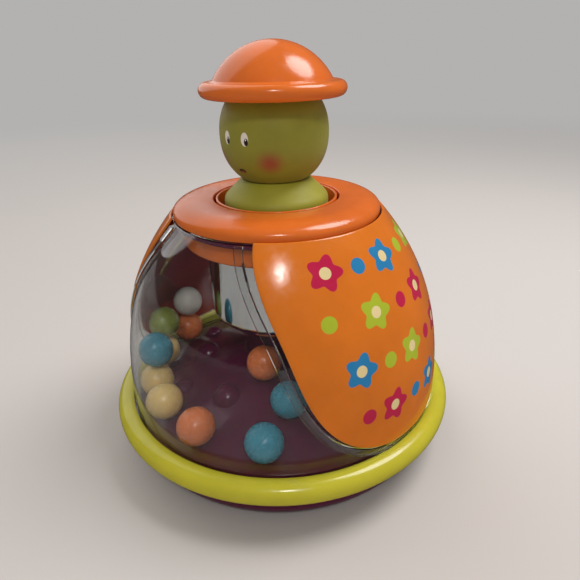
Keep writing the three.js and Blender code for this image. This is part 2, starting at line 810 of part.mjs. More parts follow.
const orange = plastic("#ee6a1c", 0.22);
const lime = plastic("#c8cf2e", 0.25);
const softLime = plastic("#9aa325", 0.7);
const maroon = plastic("#5a1730", 0.25);
const clear = plastic("#e8f0f4", 0.05, { transparent: true, opacity: 0.25 });
const natural = plastic("#e9e6dc", 0.45);
const chrome = new THREE.MeshStandardMaterial({ color: "#d9dde0", roughness: 0.06, metalness: 1 });
const steel = new THREE.MeshStandardMaterial({ color: "#8f9296", roughness: 0.35, metalness: 1 });
const ballColours = {
  teal: plastic("#2f93a8", 0.3),
  orange: plastic("#e8723a", 0.3),
  cream: plastic("#eccb7a", 0.3),
  lime: plastic("#8f9a3a", 0.3),
  white: plastic("#e9e4da", 0.3),
};

// Assembly

const toy = new THREE.Group();
const body = new THREE.Group();
const plunger = new THREE.Group();
const drive = new THREE.Group();
const spinner = new THREE.Group();
toy.add(body, plunger, drive, spinner);

function add(group, name, solid, material) {
  const mesh = new THREE.Mesh(toGeometry(solid), material);
  mesh.name = name;
  group.add(mesh);
  return mesh;
}

// A row of equal screws, all pointing up from one height.
function addScrews(group, name, places, height, length, headSize) {
  const solid = screw(length, headSize);
  places.forEach(([x, y], i) => add(group, `${name}_${i + 1}`, solid, steel).position.set(x, y, height));
}

add(body, "base_pan", basePan(), maroon);
add(body, "bumper_ring", bumperRing(), lime);
add(body, "floor_tray", floorTray(), maroon);
addScrews(body, "base_screw", baseScrewPlaces, baseScrewSeat, baseScrewLength, screwHead);
add(body, "clear_dome", clearDome(), clear);
const wingSolid = wing();
add(body, "wing_left", wingSolid, orange);
add(body, "wing_right", wingSolid, orange).rotation.z = Math.PI;
add(body, "top_cap", topCap(), orange);
add(body, "cap_retainer", capRetainer(), orange);
add(body, "guide_sleeve", guideSleeve(), orange);
add(body, "mirror_column", mirrorColumn(), chrome);
add(body, "spindle_bush", spindleBush(), natural);
addScrews(body, "cap_screw", capScrewPlaces, retainerBottom - seat, capScrewLength, screwHead);
add(body, "return_spring", returnSpring(), steel);

add(plunger, "plunger_core", plungerCore(), natural);
add(plunger, "drive_plate", drivePlate(), natural);
add(plunger, "collar", collar(), softLime);
add(plunger, "head", head(), softLime);
add(plunger, "hat", hat(), orange);
const plateScrew = screw(plateScrewLength, plateScrewHead);
plateScrewPlaces.forEach(([x, y], i) => {
  const mesh = add(plunger, `plate_screw_${i + 1}`, plateScrew, steel);
  mesh.position.set(x, y, plungerTop + seat);
  mesh.rotation.x = Math.PI;
});

add(drive, "twist_spindle", twistSpindle(), steel);
add(drive, "clutch_driver", clutchDriver(), natural);

add(spinner, "spinner_disc", spinnerDisc(), maroon);
add(spinner, "hub_cover", hubCover(), maroon);
add(spinner, "ratchet_ring", ratchetRing(), natural);
add(spinner, "hub_bearing", bearing(), natural);
add(body, "thrust_washer", thrustWasher(), natural);

// Balls lie against the dome in stacks, counted in ball widths back from the first, or loose on the
// cone.
const rimRadius = domeRadius - domeWall - ballRadius - ballWallGap;
const ballPitch = 2 * Math.asin((ballRadius + ballGap / 2) / rimRadius);
const rimAzimuth = (steps) => THREE.MathUtils.degToRad(rimStart) - steps * ballPitch;
const stacks = [
  { steps: 0, colours: ["teal"] },
  { steps: 1.85, colours: ["orange"] },
  { steps: 3.3, colours: ["cream"] },
  { steps: 4.36, colours: ["cream", "teal"] },
  { steps: 5.96, colours: ["cream", "lime"] },
  { steps: 7.5, colours: ["orange", "white"] },
];
const strays = [
  { radius: rimRadius - strayIn, azimuth: 45.5, colour: "teal" },
  { radius: hubRadius + ballRadius + ballWallGap, azimuth: 25, colour: "orange" },
  { radius: rimRadius, azimuth: 112, colour: "lime" },
  { radius: rimRadius, azimuth: 168, colour: "cream" },
];
const ballSolid = toSolid(new THREE.IcosahedronGeometry(ballRadius, 2));
let ballNumber = 0;

// Azimuth runs from the face, -Y, towards +X.
function addBall(colour, radius, azimuth, lift) {
  ballNumber += 1;
  const mesh = add(spinner, `ball_${String(ballNumber).padStart(2, "0")}`, ballSolid, ballColours[colour]);
  const rest = spinnerSurface(radius) + ballRadius / Math.cos(spinnerSlope) + seat;
  mesh.position.set(radius * Math.sin(azimuth), -radius * Math.cos(azimuth), rest + lift);
}

for (const { steps, colours } of stacks) {
  colours.forEach((colour, tier) => {
    const inset = tier * upperInset;
    const rise = tier * (2 * ballRadius + ballGap);
    addBall(colour, rimRadius - inset, rimAzimuth(steps), rise - inset * Math.tan(spinnerSlope));
  });
}
for (const { radius, azimuth, colour } of strays) {
  addBall(colour, radius, THREE.MathUtils.degToRad(azimuth), 0);
}

export default toy;
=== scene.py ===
import json
import math

import bmesh
import bpy
from bpy.props import FloatProperty, FloatVectorProperty, IntProperty, PointerProperty
from mathutils import Euler, Matrix, Vector


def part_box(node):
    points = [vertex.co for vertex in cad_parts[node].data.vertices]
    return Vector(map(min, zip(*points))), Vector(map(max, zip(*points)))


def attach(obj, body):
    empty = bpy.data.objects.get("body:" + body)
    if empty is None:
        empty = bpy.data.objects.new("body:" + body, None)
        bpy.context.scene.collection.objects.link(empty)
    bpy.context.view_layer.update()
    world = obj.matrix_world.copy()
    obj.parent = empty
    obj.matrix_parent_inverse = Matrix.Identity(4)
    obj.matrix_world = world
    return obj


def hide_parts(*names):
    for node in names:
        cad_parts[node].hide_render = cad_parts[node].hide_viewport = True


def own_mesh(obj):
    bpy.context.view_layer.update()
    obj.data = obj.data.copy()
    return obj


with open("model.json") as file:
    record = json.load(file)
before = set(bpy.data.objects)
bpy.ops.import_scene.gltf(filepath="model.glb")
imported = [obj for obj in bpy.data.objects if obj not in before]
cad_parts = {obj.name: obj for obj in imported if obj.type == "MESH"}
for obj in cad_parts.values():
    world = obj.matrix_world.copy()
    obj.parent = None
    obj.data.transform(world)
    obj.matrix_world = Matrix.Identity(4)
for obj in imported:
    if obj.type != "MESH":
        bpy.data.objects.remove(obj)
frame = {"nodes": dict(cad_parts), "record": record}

bl_info = {
    "name": "Ball popper toy",
    "version": (1, 0, 0),
    "blender": (4, 5, 0),
    "location": "View3D > Sidebar > Popper",
    "description": "Models and finishes the pieces of a press-and-spin ball popper over its solids",
    "category": "Object",
}

MM = 0.001
METRE = 1000  # in millimetres
SEAT = 0.3 * MM  # gap between two faces that stand on each other
TINY = 0.001 * MM  # lengths under this count as none
MERGE = 2 * TINY  # points closer than this are one
FLANGE = 1.8 * MM  # thickness of the neck's stacked flanges and of the pan's rim
FOOT_FLANGE = 2 * MM  # thickness of the dome's foot flange
SCREW_HOLE = 1.8 * MM  # radius of the hole round a screw's shank
SCREW_HEAD = 1.7 * MM  # height of a screw's head
HEAD_HALF, HEAD_POWER = 25 * MM, 2.2  # half height and squareness of the rounded head
SPINNER_SLOPE = math.radians(20)
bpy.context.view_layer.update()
BOXES = {name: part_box(name) for name in frame["nodes"]}


def linear(hex_colour):
    """Turns an sRGB hex colour into linear red, green and blue."""
    channels = [int(hex_colour[i:i + 2], 16) / 255 for i in (1, 3, 5)]
    return tuple(c / 12.92 if c <= 0.04045 else ((c + 0.055) / 1.055) ** 2.4 for c in channels)


SURROUNDINGS = linear("#f4f2f0")


def low(node):
    return BOXES[node][0]


def high(node):
    return BOXES[node][1]


def heights(node):
    return low(node)[2], high(node)[2]


def middle(node):
    return (Vector(low(node)) + Vector(high(node))) / 2


def screw_places(kind, count):
    return [middle(f"{kind}_{i}")[:2] for i in range(1, count + 1)]


def length(name, description, millimetres):
    return FloatProperty(name=name, description=description, default=millimetres * MM, unit="LENGTH")


def colour(name, description, hex_colour):
    return FloatVectorProperty(
        name=name, description=description, subtype="COLOR", size=3, min=0, max=1,
        default=linear(hex_colour))


class PopperSizes(bpy.types.PropertyGroup):
    """Sizes that the solids don't give"""
    turn_steps: IntProperty(
        name="Turn steps", description="Steps of a full turn on the broad pieces", default=144, min=24)
    pan_wall: length("Pan wall", "Wall of the base pan", 2.4)
    bumper_tube: length("Bumper tube", "Radius of the bumper ring's section", 5.75)
    dome_power: FloatProperty(
        name="Dome power", description="How late the dome's side turns inwards", default=2.75)
    dome_wall: length("Dome wall", "Wall of the clear dome", 2.2)
    dome_flange: length("Dome flange", "Width of the dome's foot flange", 3)
    dome_neck: length("Dome neck", "Outer radius at the dome's top", 51.4)
    wing_thickness: length("Wing thickness", "Wall of a wing", 1.4)
    wing_stand: length("Wing stand", "A wing's outer face over the dome", 1.7)
    wing_half_width: length("Wing half width", "Half of a wing's width from the side", 55.2)
    wing_middle: length("Wing middle", "Height of a wing's widest point", 92)
    wing_drop: length("Wing drop", "From the widest point down to the lowest", 60.5)
    wing_rise: length("Wing rise", "Reach of the outline's upper half", 53)
    wing_power_up: FloatProperty(
        name="Upper wing power", description="How square the outline's upper half is", default=2.2)
    wing_power_down: FloatProperty(
        name="Lower wing power", description="How square the outline's lower half is", default=2.8)
    lip_width: length("Lip width", "Clear lip round a wing", 3.8)
    lip_height: length("Lip height", "How far the clear lip stands out", 1.4)
    brim_tube: length("Brim tube", "Radius of the hat's brim roll", 3.4)
    edge_round: length("Edge round", "Rounding of moulded edges", 0.6)
    seam_depth: length("Ball seam", "Depth of the groove round a ball", 0.14)
    flower_size: length("Flower size", "Radius of a printed flower", 8.2)
    dot_size: length("Dot size", "Radius of a printed dot", 3.6)


class PopperColours(bpy.types.PropertyGroup):
    """Colours of the finishes"""
    orange: colour("Orange", "Cap, retainer, sleeve and hat", "#e57129")
    wing: colour("Wing", "Ground of the printed wings", "#e47a22")
    # Wing back: the wing's orange made redder, a painted glow of the light that shines through the thin
    # wings
    wing_back: colour("Wing back", "Inner face of the wings, reddened by light through them", "#e0481f")
    lime: colour("Lime", "Bumper ring", "#ccc236")
    collar: colour("Collar", "Soft collar", "#a39e22")
    # Head: the collar's lime made darker, a painted shade of the hat over the head
    head: colour("Head", "Soft head", "#949024")
    maroon: colour("Maroon", "Base pan, tray and spinner", "#5a1034")
    ball_teal: colour("Ball teal", "Teal balls", "#3f8ea2")
    ball_orange: colour("Ball orange", "Orange balls", "#e27c46")
    ball_cream: colour("Ball cream", "Cream balls", "#f0ca7e")
    ball_lime: colour("Ball moss", "Moss green balls", "#939c46")
    ball_white: colour("Ball white", "Off-white balls", "#e8e2d8")
    print_pink: colour("Print pink", "First printed colour", "#c9234c")
    print_blue: colour("Print blue", "Second printed colour", "#2f86bb")
    print_lime: colour("Print lime", "Third printed colour", "#b4c234")
    print_cream: colour("Print cream", "Flower centres and some dots", "#f3dca0")
    cheek: colour("Cheek", "Sprayed cheeks", "#a4502a")
    eye_white: colour("Eye white", "White of the eyes", "#efe9d8")
    eye_dark: colour("Eye dark", "Pupils and mouth line", "#2a1c14")
    acetal: colour("Acetal", "Inner works", "#e6e2d6")
    floor: colour("Floor", "Paper under the toy", "#d2cbc6")


# Tools of the workshop


def settings(context):
    return context.scene.popper_sizes, context.scene.popper_colours


def start_clean():
    """Leaves edit mode and deselects everything."""
    if bpy.context.object and bpy.context.object.mode != "OBJECT":
        bpy.ops.object.mode_set(mode="OBJECT")
    bpy.ops.object.select_all(action="DESELECT")


def name_active(name):
    piece = bpy.context.object
    piece.name = name
    piece.data.name = name
    return piece


def make_active(piece):
    start_clean()
    piece.select_set(True)
    bpy.context.view_layer.objects.active = piece


def open_mesh(piece):
    """Takes a piece into edit mode with all of its mesh selected."""
    make_active(piece)
    bpy.ops.object.mode_set(mode="EDIT")
    bpy.ops.mesh.select_all(action="SELECT")


def close_mesh():
    """Merges doubles of the mesh in edit mode and turns its faces outwards."""
    bpy.ops.mesh.select_all(action="SELECT")
    bpy.ops.mesh.remove_doubles(threshold=MERGE)
    bpy.ops.mesh.normals_make_consistent(inside=False)


def smooth(piece, angle=35):
    make_active(piece)
    bpy.ops.object.shade_smooth_by_angle(angle=math.radians(angle))


def modified(piece, kind, **choices):
    """Applies one modifier with its choices."""
    make_active(piece)
    modifier = piece.modifiers.new(kind, kind)
    for name, value in choices.items():
        setattr(modifier, name, value)
    bpy.ops.object.modifier_apply(modifier=modifier.name)


def joined(name, pieces):
    """Joins pieces into the active one and puts their places into the mesh."""
    for piece in pieces:
        piece.select_set(True)
    bpy.ops.object.join()
    bpy.ops.object.transform_apply()
    return name_active(name)


def combine(piece, tool, operation):
    """Joins a tool's solid to a piece, or cuts it out, and removes the tool."""
    modified(piece, "BOOLEAN", operation=operation, object=tool, solver="EXACT")
    bpy.data.objects.remove(tool, do_unlink=True)
    smooth(piece)


def copy_to(piece, name, place):
    """A copy with its own mesh, moved by a matrix that goes into the mesh."""
    other = piece.copy()
    other.data = piece.data.copy()
    other.name = other.data.name = name
    bpy.context.collection.objects.link(other)
    other.data.transform(place)
    return other


def finish_piece(piece, nodes, body, slot, material):
    """Gives a piece its finish and its body, and hides the solids that it stands for."""
    faces = [face.material_index for face in piece.data.polygons]
    piece.data.materials.clear()
    piece.data.materials.append(material)
    piece.data.polygons.foreach_set("material_index", faces)
    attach(piece, body)
    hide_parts(*nodes)


# Forms


def arc(r, z, reach_r, reach_z, start, end, steps):
    """Part of an ellipse as outline points, with angles in degrees."""
    points = []
    for i in range(steps + 1):
        angle = math.radians(start + (end - start) * i / steps)
        points.append((r + reach_r * math.cos(angle), z + reach_z * math.sin(angle)))
    return points


def rounded(corners, steps=5):
    """Rounds the corners of an outline: each is (radius, height) or (radius, height, rounding)."""
    points = []
    count, most = len(corners), 0.45  # a rounding takes at most this share of a side
    for i, corner in enumerate(corners):
        here = Vector(corner[:2])
        if len(corner) == 2:
            points.append(tuple(here))
            continue
        back = Vector(corners[i - 1][:2]) - here
        on = Vector(corners[(i + 1) % count][:2]) - here
        half = back.angle(on) / 2
        reach = min(corner[2] / math.tan(half), most * back.length, most * on.length)
        back.normalize()
        on.normalize()
        centre = here + (back + on).normalized() * (reach / math.cos(half))
        first = here + back * reach - centre
        last = here + on * reach - centre
        start = math.atan2(first.y, first.x)
        sweep = (math.atan2(last.y, last.x) - start + math.pi) % (2 * math.pi) - math.pi
        for k in range(steps + 1):
            angle = start + sweep * k / steps
            points.append((centre.x + first.length * math.cos(angle),
                           centre.y + first.length * math.sin(angle)))
    return points


def turned(name, outline, steps):
    """Draws an outline of (radius, height) points and spins it round the upright axis.

    A point may carry a rounding. An outline that begins on the axis stays open there, and any other
    is closed.
    """
    start_clean()
    points = rounded(outline)
    if points[0][0] > TINY:
        points.append(points[0])
    bpy.ops.mesh.primitive_plane_add(size=MM)
    piece = name_active(name)
    open_mesh(piece)
    bpy.ops.mesh.merge(type="CENTER")
    bpy.ops.transform.translate(value=(points[0][0], 0, points[0][1]))
    for (r, z), (next_r, next_z) in zip(points, points[1:]):
        bpy.ops.mesh.extrude_region_move(TRANSFORM_OT_translate={"value": (next_r - r, 0, next_z - z)})
    bpy.ops.mesh.select_all(action="SELECT")
    bpy.ops.mesh.spin(steps=steps, angle=2 * math.pi, center=(0, 0, 0), axis=(0, 0, 1))
    close_mesh()
    smooth(piece)
    return piece


def pegs(name, places, radius, bottom, top, vertices=32):
    """Round pegs at (x, y) places in one object, as a tool for joining or cutting."""
    start_clean()
    made = []
    for x, y in places:
        bpy.ops.mesh.primitive_cylinder_add(
            vertices=vertices, radius=radius, depth=top - bottom, location=(x, y, (top + bottom) / 2))
        made.append(bpy.context.object)
    return joined(name, made)


def block(name, size):
    """A plain block round the origin, as a tool for joining or cutting."""
    start_clean()
    bpy.ops.mesh.primitive_cube_add(size=1, scale=size)
    bpy.ops.object.transform_apply()
    return name_active(name)


def draped(name, columns, rows, place):
    """A grid whose points, each (s, t) from -1 to 1, lie where a function says; left in edit mode."""
    start_clean()
    bpy.ops.mesh.primitive_grid_add(x_subdivisions=columns, y_subdivisions=rows, size=2)
    piece = name_active(name)
    for vertex in piece.data.vertices:
        vertex.co = place(vertex.co.x, vertex.co.y)
    open_mesh(piece)
    bpy.ops.mesh.remove_doubles(threshold=MERGE)
    return piece


def dome_point(sizes, share, offset):
    """Radius and height on the dome at a share of its height, moved along the outward normal."""
    foot = low("clear_dome")[2] + FOOT_FLANGE
    height = high("clear_dome")[2] - foot
    full = high("clear_dome")[0] - sizes.dome_flange
    fall = full - sizes.dome_neck
    lean = fall * sizes.dome_power * share ** (sizes.dome_power - 1) / height
    normal = Vector((1, lean)).normalized()
    return (full - fall * share ** sizes.dome_power + normal.x * offset,
            foot + height * share + normal.y * offset)


def on_dome(sizes, y, z, offset):
    """The point over the dome, on the +X side, that is seen at (y, z) from that side."""
    foot, top = dome_point(sizes, 0, 0)[1], dome_point(sizes, 1, 0)[1]
    share = (z - foot) / (top - foot)
    for _ in range(6):
        share += (z - dome_point(sizes, max(share, 0), offset)[1]) / (top - foot)
        share = max(share, 0)
    radius = dome_point(sizes, share, offset)[0]
    return Vector((math.sqrt(max(radius ** 2 - y ** 2, 0)), y, z))


def wing_edge(sizes, z):
    """Half of the wing outline's width at a height over its middle, as seen from the side."""
    share = min((z - sizes.wing_middle) / sizes.wing_rise, 1)
    power = sizes.wing_power_up
    return sizes.wing_half_width * (1 - share ** power) ** (1 / power)


def head_radius(height):
    """Radius of the rounded head at a height over its middle."""
    return high("head")[0] * (1 - abs(height / HEAD_HALF) ** HEAD_POWER) ** (1 / HEAD_POWER)


# Finishes


def add_node(tree, kind, inputs=None, **choices):
    """Adds a shader node with its choices, and sets its inputs or links them to other nodes.

    A node among the inputs stands for its first output. A map range takes its old limits as inputs
    1 and 2, and its new ones as 3 and 4.
    """
    node = tree.nodes.new("ShaderNode" + kind)
    for name, value in choices.items():
        setattr(node, name, value)
    for key, value in (inputs or {}).items():
        if isinstance(value, bpy.types.Node):
            value = value.outputs[0]
        if isinstance(value, bpy.types.NodeSocket):
            tree.links.new(value, node.inputs[key])
        else:
            node.inputs[key].default_value = value
    return node


def new_finish(name):
    material = bpy.data.materials.new(name)
    material.use_nodes = True
    tree = material.node_tree
    return material, tree, tree.nodes["Principled BSDF"]


def moulding(tree, shader, tint, gloss, spread, patch, grain, depth):
    """What every moulding shows: faint colour drift, handling smears and a fine skin.

    Tint is a colour or a socket; gloss and spread are roughness and its drift; patch and grain are
    sizes in millimetres; depth is the skin's height in millimetres.
    """
    point = add_node(tree, "TexCoord").outputs["Object"]
    drift = add_node(tree, "TexNoise", {"Vector": point, "Scale": METRE / patch, "Detail": 3.0})
    value = add_node(tree, "MapRange", {"Value": drift, 1: 0.3, 2: 0.7, 3: 0.93, 4: 1.05})
    base = tint if isinstance(tint, bpy.types.NodeSocket) else (*tint, 1)
    shade = add_node(tree, "HueSaturation", {"Value": value, "Color": base})
    smear = add_node(tree, "TexNoise", {
        "Vector": point, "Scale": METRE / (patch * 0.35), "Detail": 4.0, "Distortion": 1.5})
    rough = add_node(tree, "MapRange", {"Value": smear, 1: 0.35, 2: 0.7, 3: gloss, 4: gloss + spread})
    skin = add_node(tree, "TexNoise", {"Vector": point, "Scale": METRE / grain, "Detail": 2.0})
    bump = add_node(tree, "Bump", {"Strength": 0.6, "Distance": depth * MM, "Height": skin})
    for node, name in ((shade, "Base Color"), (rough, "Roughness"), (bump, "Normal")):
        tree.links.new(node.outputs[0], shader.inputs[name])
    shader.inputs["IOR"].default_value = 1.53


def glossy_abs(name, tint):
    # Injection-moulded ABS from a polished tool: saturated colour, sharp reflections, thumb smears
    material, tree, shader = new_finish(name)
    moulding(tree, shader, tint, gloss=0.14, spread=0.12, patch=16, grain=1.6, depth=0.006)
    return material


def matte_vinyl(name, tint):
    # Soft vinyl from an etched tool: no clear reflections, a fine even grain
    material, tree, shader = new_finish(name)
    moulding(tree, shader, tint, gloss=0.52, spread=0.1, patch=12, grain=0.55, depth=0.03)
    shader.inputs["Sheen Weight"].default_value = 0.08
    shader.inputs["Sheen Roughness"].default_value = 0.5
    return material


def ball_polythene(name, tint):
    # Blow-moulded polythene: waxy skin, light sinks in a little
    material, tree, shader = new_finish(name)
    moulding(tree, shader, tint, gloss=0.2, spread=0.12, patch=9, grain=1.1, depth=0.003)
    shader.inputs["Subsurface Weight"].default_value = 0.08
    shader.inputs["Subsurface Radius"].default_value = (0.004, 0.003, 0.002)
    shader.inputs["Subsurface Scale"].default_value = 0.5
    return material


def natural_acetal(name, tint):
    # Uncoloured acetal: bone white, half gloss, faint flow marks
    material, tree, shader = new_finish(name)
    moulding(tree, shader, tint, gloss=0.36, spread=0.1, patch=10, grain=0.8, depth=0.01)
    return material


def bright_steel(name):
    # Zinc-plated steel: grey metal with fine drawing marks
    material, tree, shader = new_finish(name)
    grey = linear("#a9abad")
    moulding(tree, shader, grey, gloss=0.26, spread=0.16, patch=4, grain=0.5, depth=0.004)
    shader.inputs["Metallic"].default_value = 1
    shader.inputs["IOR"].default_value = 1.5
    return material


def mirror_plate(name):
    # Vacuum-metallised plastic: a mirror whose reflections waver with the moulding under it
    material, tree, shader = new_finish(name)
    silver = linear("#dfe1e2")
    moulding(tree, shader, silver, gloss=0.05, spread=0.05, patch=30, grain=22, depth=0.12)
    shader.inputs["Metallic"].default_value = 1
    shader.inputs["IOR"].default_value = 1.5
    return material


def clear_styrene(name):
    # Crystal polystyrene: clear and bright at its edges, with a faint haze of handling
    material, tree, shader = new_finish(name)
    point, patch = add_node(tree, "TexCoord").outputs["Object"], 11
    haze = add_node(tree, "TexNoise", {
        "Vector": point, "Scale": METRE / patch, "Detail": 5.0, "Distortion": 1.0})
    rough = add_node(tree, "MapRange", {"Value": haze, 1: 0.45, 2: 0.75, 3: 0.015, 4: 0.05})
    tree.links.new(rough.outputs["Result"], shader.inputs["Roughness"])
    shader.inputs["Base Color"].default_value = (*linear("#f6f8f8"), 1)
    shader.inputs["Transmission Weight"].default_value = 1
    shader.inputs["IOR"].default_value = 1.52
    path = add_node(tree, "LightPath")
    see_through = add_node(tree, "BsdfTransparent", {"Color": (0.93, 0.94, 0.94, 1)})
    mix = add_node(tree, "MixShader", {0: path.outputs["Is Shadow Ray"], 1: shader, 2: see_through})
    tree.links.new(mix.outputs["Shader"], tree.nodes["Material Output"].inputs["Surface"])
    return material


def local(tree, point, place, normal, size):
    """Coordinates round a spot on a surface: across, up and outwards, each divided by its size."""
    out = Vector(normal).normalized()
    across = Vector((0, 0, 1)).cross(out).normalized()
    turn = Matrix((across, out.cross(across), out)).transposed().to_euler()
    return add_node(tree, "Mapping", {
        "Vector": point, "Location": place, "Rotation": turn, "Scale": size}, vector_type="TEXTURE")


def spot(tree, where, soft):
    """A mask that is 1 inside the unit oval of local coordinates and fades over its edge."""
    far = add_node(tree, "VectorMath", {0: where}, operation="LENGTH").outputs["Value"]
    return add_node(tree, "MapRange", {"Value": far, 1: 1 + soft, 2: 1 - soft, 3: 0.0, 4: 1.0},
                    interpolation_type="SMOOTHSTEP")


def flower(tree, where, petals):
    """A mask of a flower whose petals reach the unit circle."""
    parts = add_node(tree, "SeparateXYZ", {0: where})
    far = add_node(tree, "VectorMath", {0: where}, operation="LENGTH").outputs["Value"]
    angle = add_node(tree, "Math", {0: parts.outputs["Y"], 1: parts.outputs["X"]}, operation="ARCTAN2")
    turn = add_node(tree, "Math", {0: angle, 1: float(petals)}, operation="MULTIPLY")
    wave = add_node(tree, "Math", {0: turn}, operation="COSINE")
    reach = add_node(tree, "Math", {0: wave, 1: 0.16, 2: 0.84}, operation="MULTIPLY_ADD")
    inside = add_node(tree, "Math", {0: reach, 1: far}, operation="SUBTRACT")
    return add_node(tree, "MapRange", {"Value": inside, 1: -0.02, 2: 0.02, 3: 0.0, 4: 1.0})


def paint(tree, ground, mask, tint):
    """Lays a colour over a ground where a mask is 1."""
    mix = add_node(tree, "Mix", {0: mask, 6: ground, 7: (*tint, 1)}, data_type="RGBA")
    return mix.outputs[2]


def printed_abs(name, sizes, colours, turn):
    # Glossy ABS with a pad-printed pattern: flat colours with crisp edges under the same gloss
    material, tree, shader = new_finish(name)
    coords = add_node(tree, "TexCoord").outputs["Object"]
    point = add_node(tree, "Mapping", {"Vector": coords, "Rotation": Euler((0, 0, -turn))})
    tints = [colours.print_pink, colours.print_blue, colours.print_lime]
    ground = (*colours.wing, 1)
    # Each row: its height, and how far across its flowers and its dots lie, in millimetres
    rows = [(114, (-32, 0, 32), (-16, 16)), (96, (-17, 17), (-40, 0, 40)),
            (75, (-32, 0, 32), (-16, 16)), (53, (-16, 16), (-31, 0, 31))]
    offset, step, heart, petals, count = sizes.wing_stand, 0.5 * MM, 0.32, 5, 0
    for height, flowers, dots in rows:
        z = height * MM
        centre, above = (on_dome(sizes, 0, level, offset).x for level in (z, z + step))
        lean = (centre - above) / step
        for across in flowers + dots:
            blooms = across in flowers
            swing = across * MM / centre
            place = Vector((centre * math.cos(swing), centre * math.sin(swing), z))
            normal = (math.cos(swing), math.sin(swing), lean)
            size = sizes.flower_size if blooms else sizes.dot_size
            where = local(tree, point, place, normal, (size,) * 3)
            mask = flower(tree, where, petals) if blooms else spot(tree, where, 0.04)
            ground = paint(tree, ground, mask, tints[(count if blooms else count + 1) % len(tints)])
            if blooms:
                where = local(tree, point, place, normal, (size * heart,) * 3)
                ground = paint(tree, ground, spot(tree, where, 0.06), colours.print_cream)
            count += 1
    moulding(tree, shader, ground, gloss=0.13, spread=0.1, patch=18, grain=1.8, depth=0.005)
    return material


def painted_vinyl(name, colours, centre):
    # Soft vinyl with a simple face: sprayed cheeks fade out, eyes and mouth are crisp tampo spots, and a
    # white dot in each pupil is a painted highlight
    material, tree, shader = new_finish(name)
    point = add_node(tree, "TexCoord").outputs["Object"]
    # The ground is the head colour, darker than the collar's: painted shade of the hat
    ground, reach = (*colours.head, 1), 8 * MM
    # Each spot: azimuth in degrees, height over the head's middle and half sizes in millimetres,
    # softness of the edge, and colour
    spots = [(side * 37, -9.8, (4.4, 4.0), 0.9, colours.cheek) for side in (-1, 1)]
    for eye in (-12, 12):
        spots.append((eye, 0.4, (1.85, 2.9), 0.08, colours.eye_white))
        spots.append((eye + 1.6, -0.7, (1.0, 1.6), 0.1, colours.eye_dark))
        # A small white dot in the upper part of each pupil: a painted highlight
        spots.append((eye + 1.2, 0.2, (0.35, 0.4), 0.2, colours.eye_white))
    spots.append((0, -14.2, (2.0, 1.25), 0.12, colours.eye_dark))
    spots.append((0, -14.7, (1.2, 0.7), 0.3, colours.cheek))
    for azimuth, rise, (width, height), soft, tint in spots:
        swing = math.radians(azimuth)
        out = Vector((math.sin(swing), -math.cos(swing), 0))
        place = Vector(centre) + out * head_radius(rise * MM) + Vector((0, 0, rise * MM))
        normal = out + Vector((0, 0, rise * MM / HEAD_HALF * 0.9))
        where = local(tree, point, place, normal, (width * MM, height * MM, reach))
        ground = paint(tree, ground, spot(tree, where, soft), tint)
    moulding(tree, shader, ground, gloss=0.5, spread=0.1, patch=12, grain=0.55, depth=0.03)
    shader.inputs["Sheen Weight"].default_value = 0.08
    return material


def studio_paper(name, tint, glow):
    # Matte card: one pale tone with the faintest tooth, lost in the pale surroundings far away
    material, tree, shader = new_finish(name)
    point, grain, near, away = add_node(tree, "TexCoord").outputs["Object"], 1.5, 0.25, 1.6
    tooth = add_node(tree, "TexNoise", {"Vector": point, "Scale": METRE / grain, "Detail": 2.0})
    bump = add_node(tree, "Bump", {"Distance": 0.02 * MM, "Height": tooth})
    tree.links.new(bump.outputs["Normal"], shader.inputs["Normal"])
    shader.inputs["Base Color"].default_value = (*tint, 1)
    shader.inputs["Roughness"].default_value = 0.85
    shader.inputs["Specular IOR Level"].default_value = 0.2
    far = add_node(tree, "VectorMath", {0: point}, operation="LENGTH").outputs["Value"]
    fade = add_node(tree, "MapRange", {"Value": far, 1: near, 2: away}, interpolation_type="SMOOTHSTEP")
    haze = add_node(tree, "Emission", {"Color": (*SURROUNDINGS, 1), "Strength": glow})
    mix = add_node(tree, "MixShader", {0: fade, 1: shader, 2: haze})
    tree.links.new(mix.outputs["Shader"], tree.nodes["Material Output"].inputs["Surface"])
    return material


FINISHES = {}


def finish_named(name, make, *values):
    """Each finish is made once and shared by the pieces that have it."""
    if name not in FINISHES:
        FINISHES[name] = make(name, *values)
    return FINISHES[name]


# Pieces


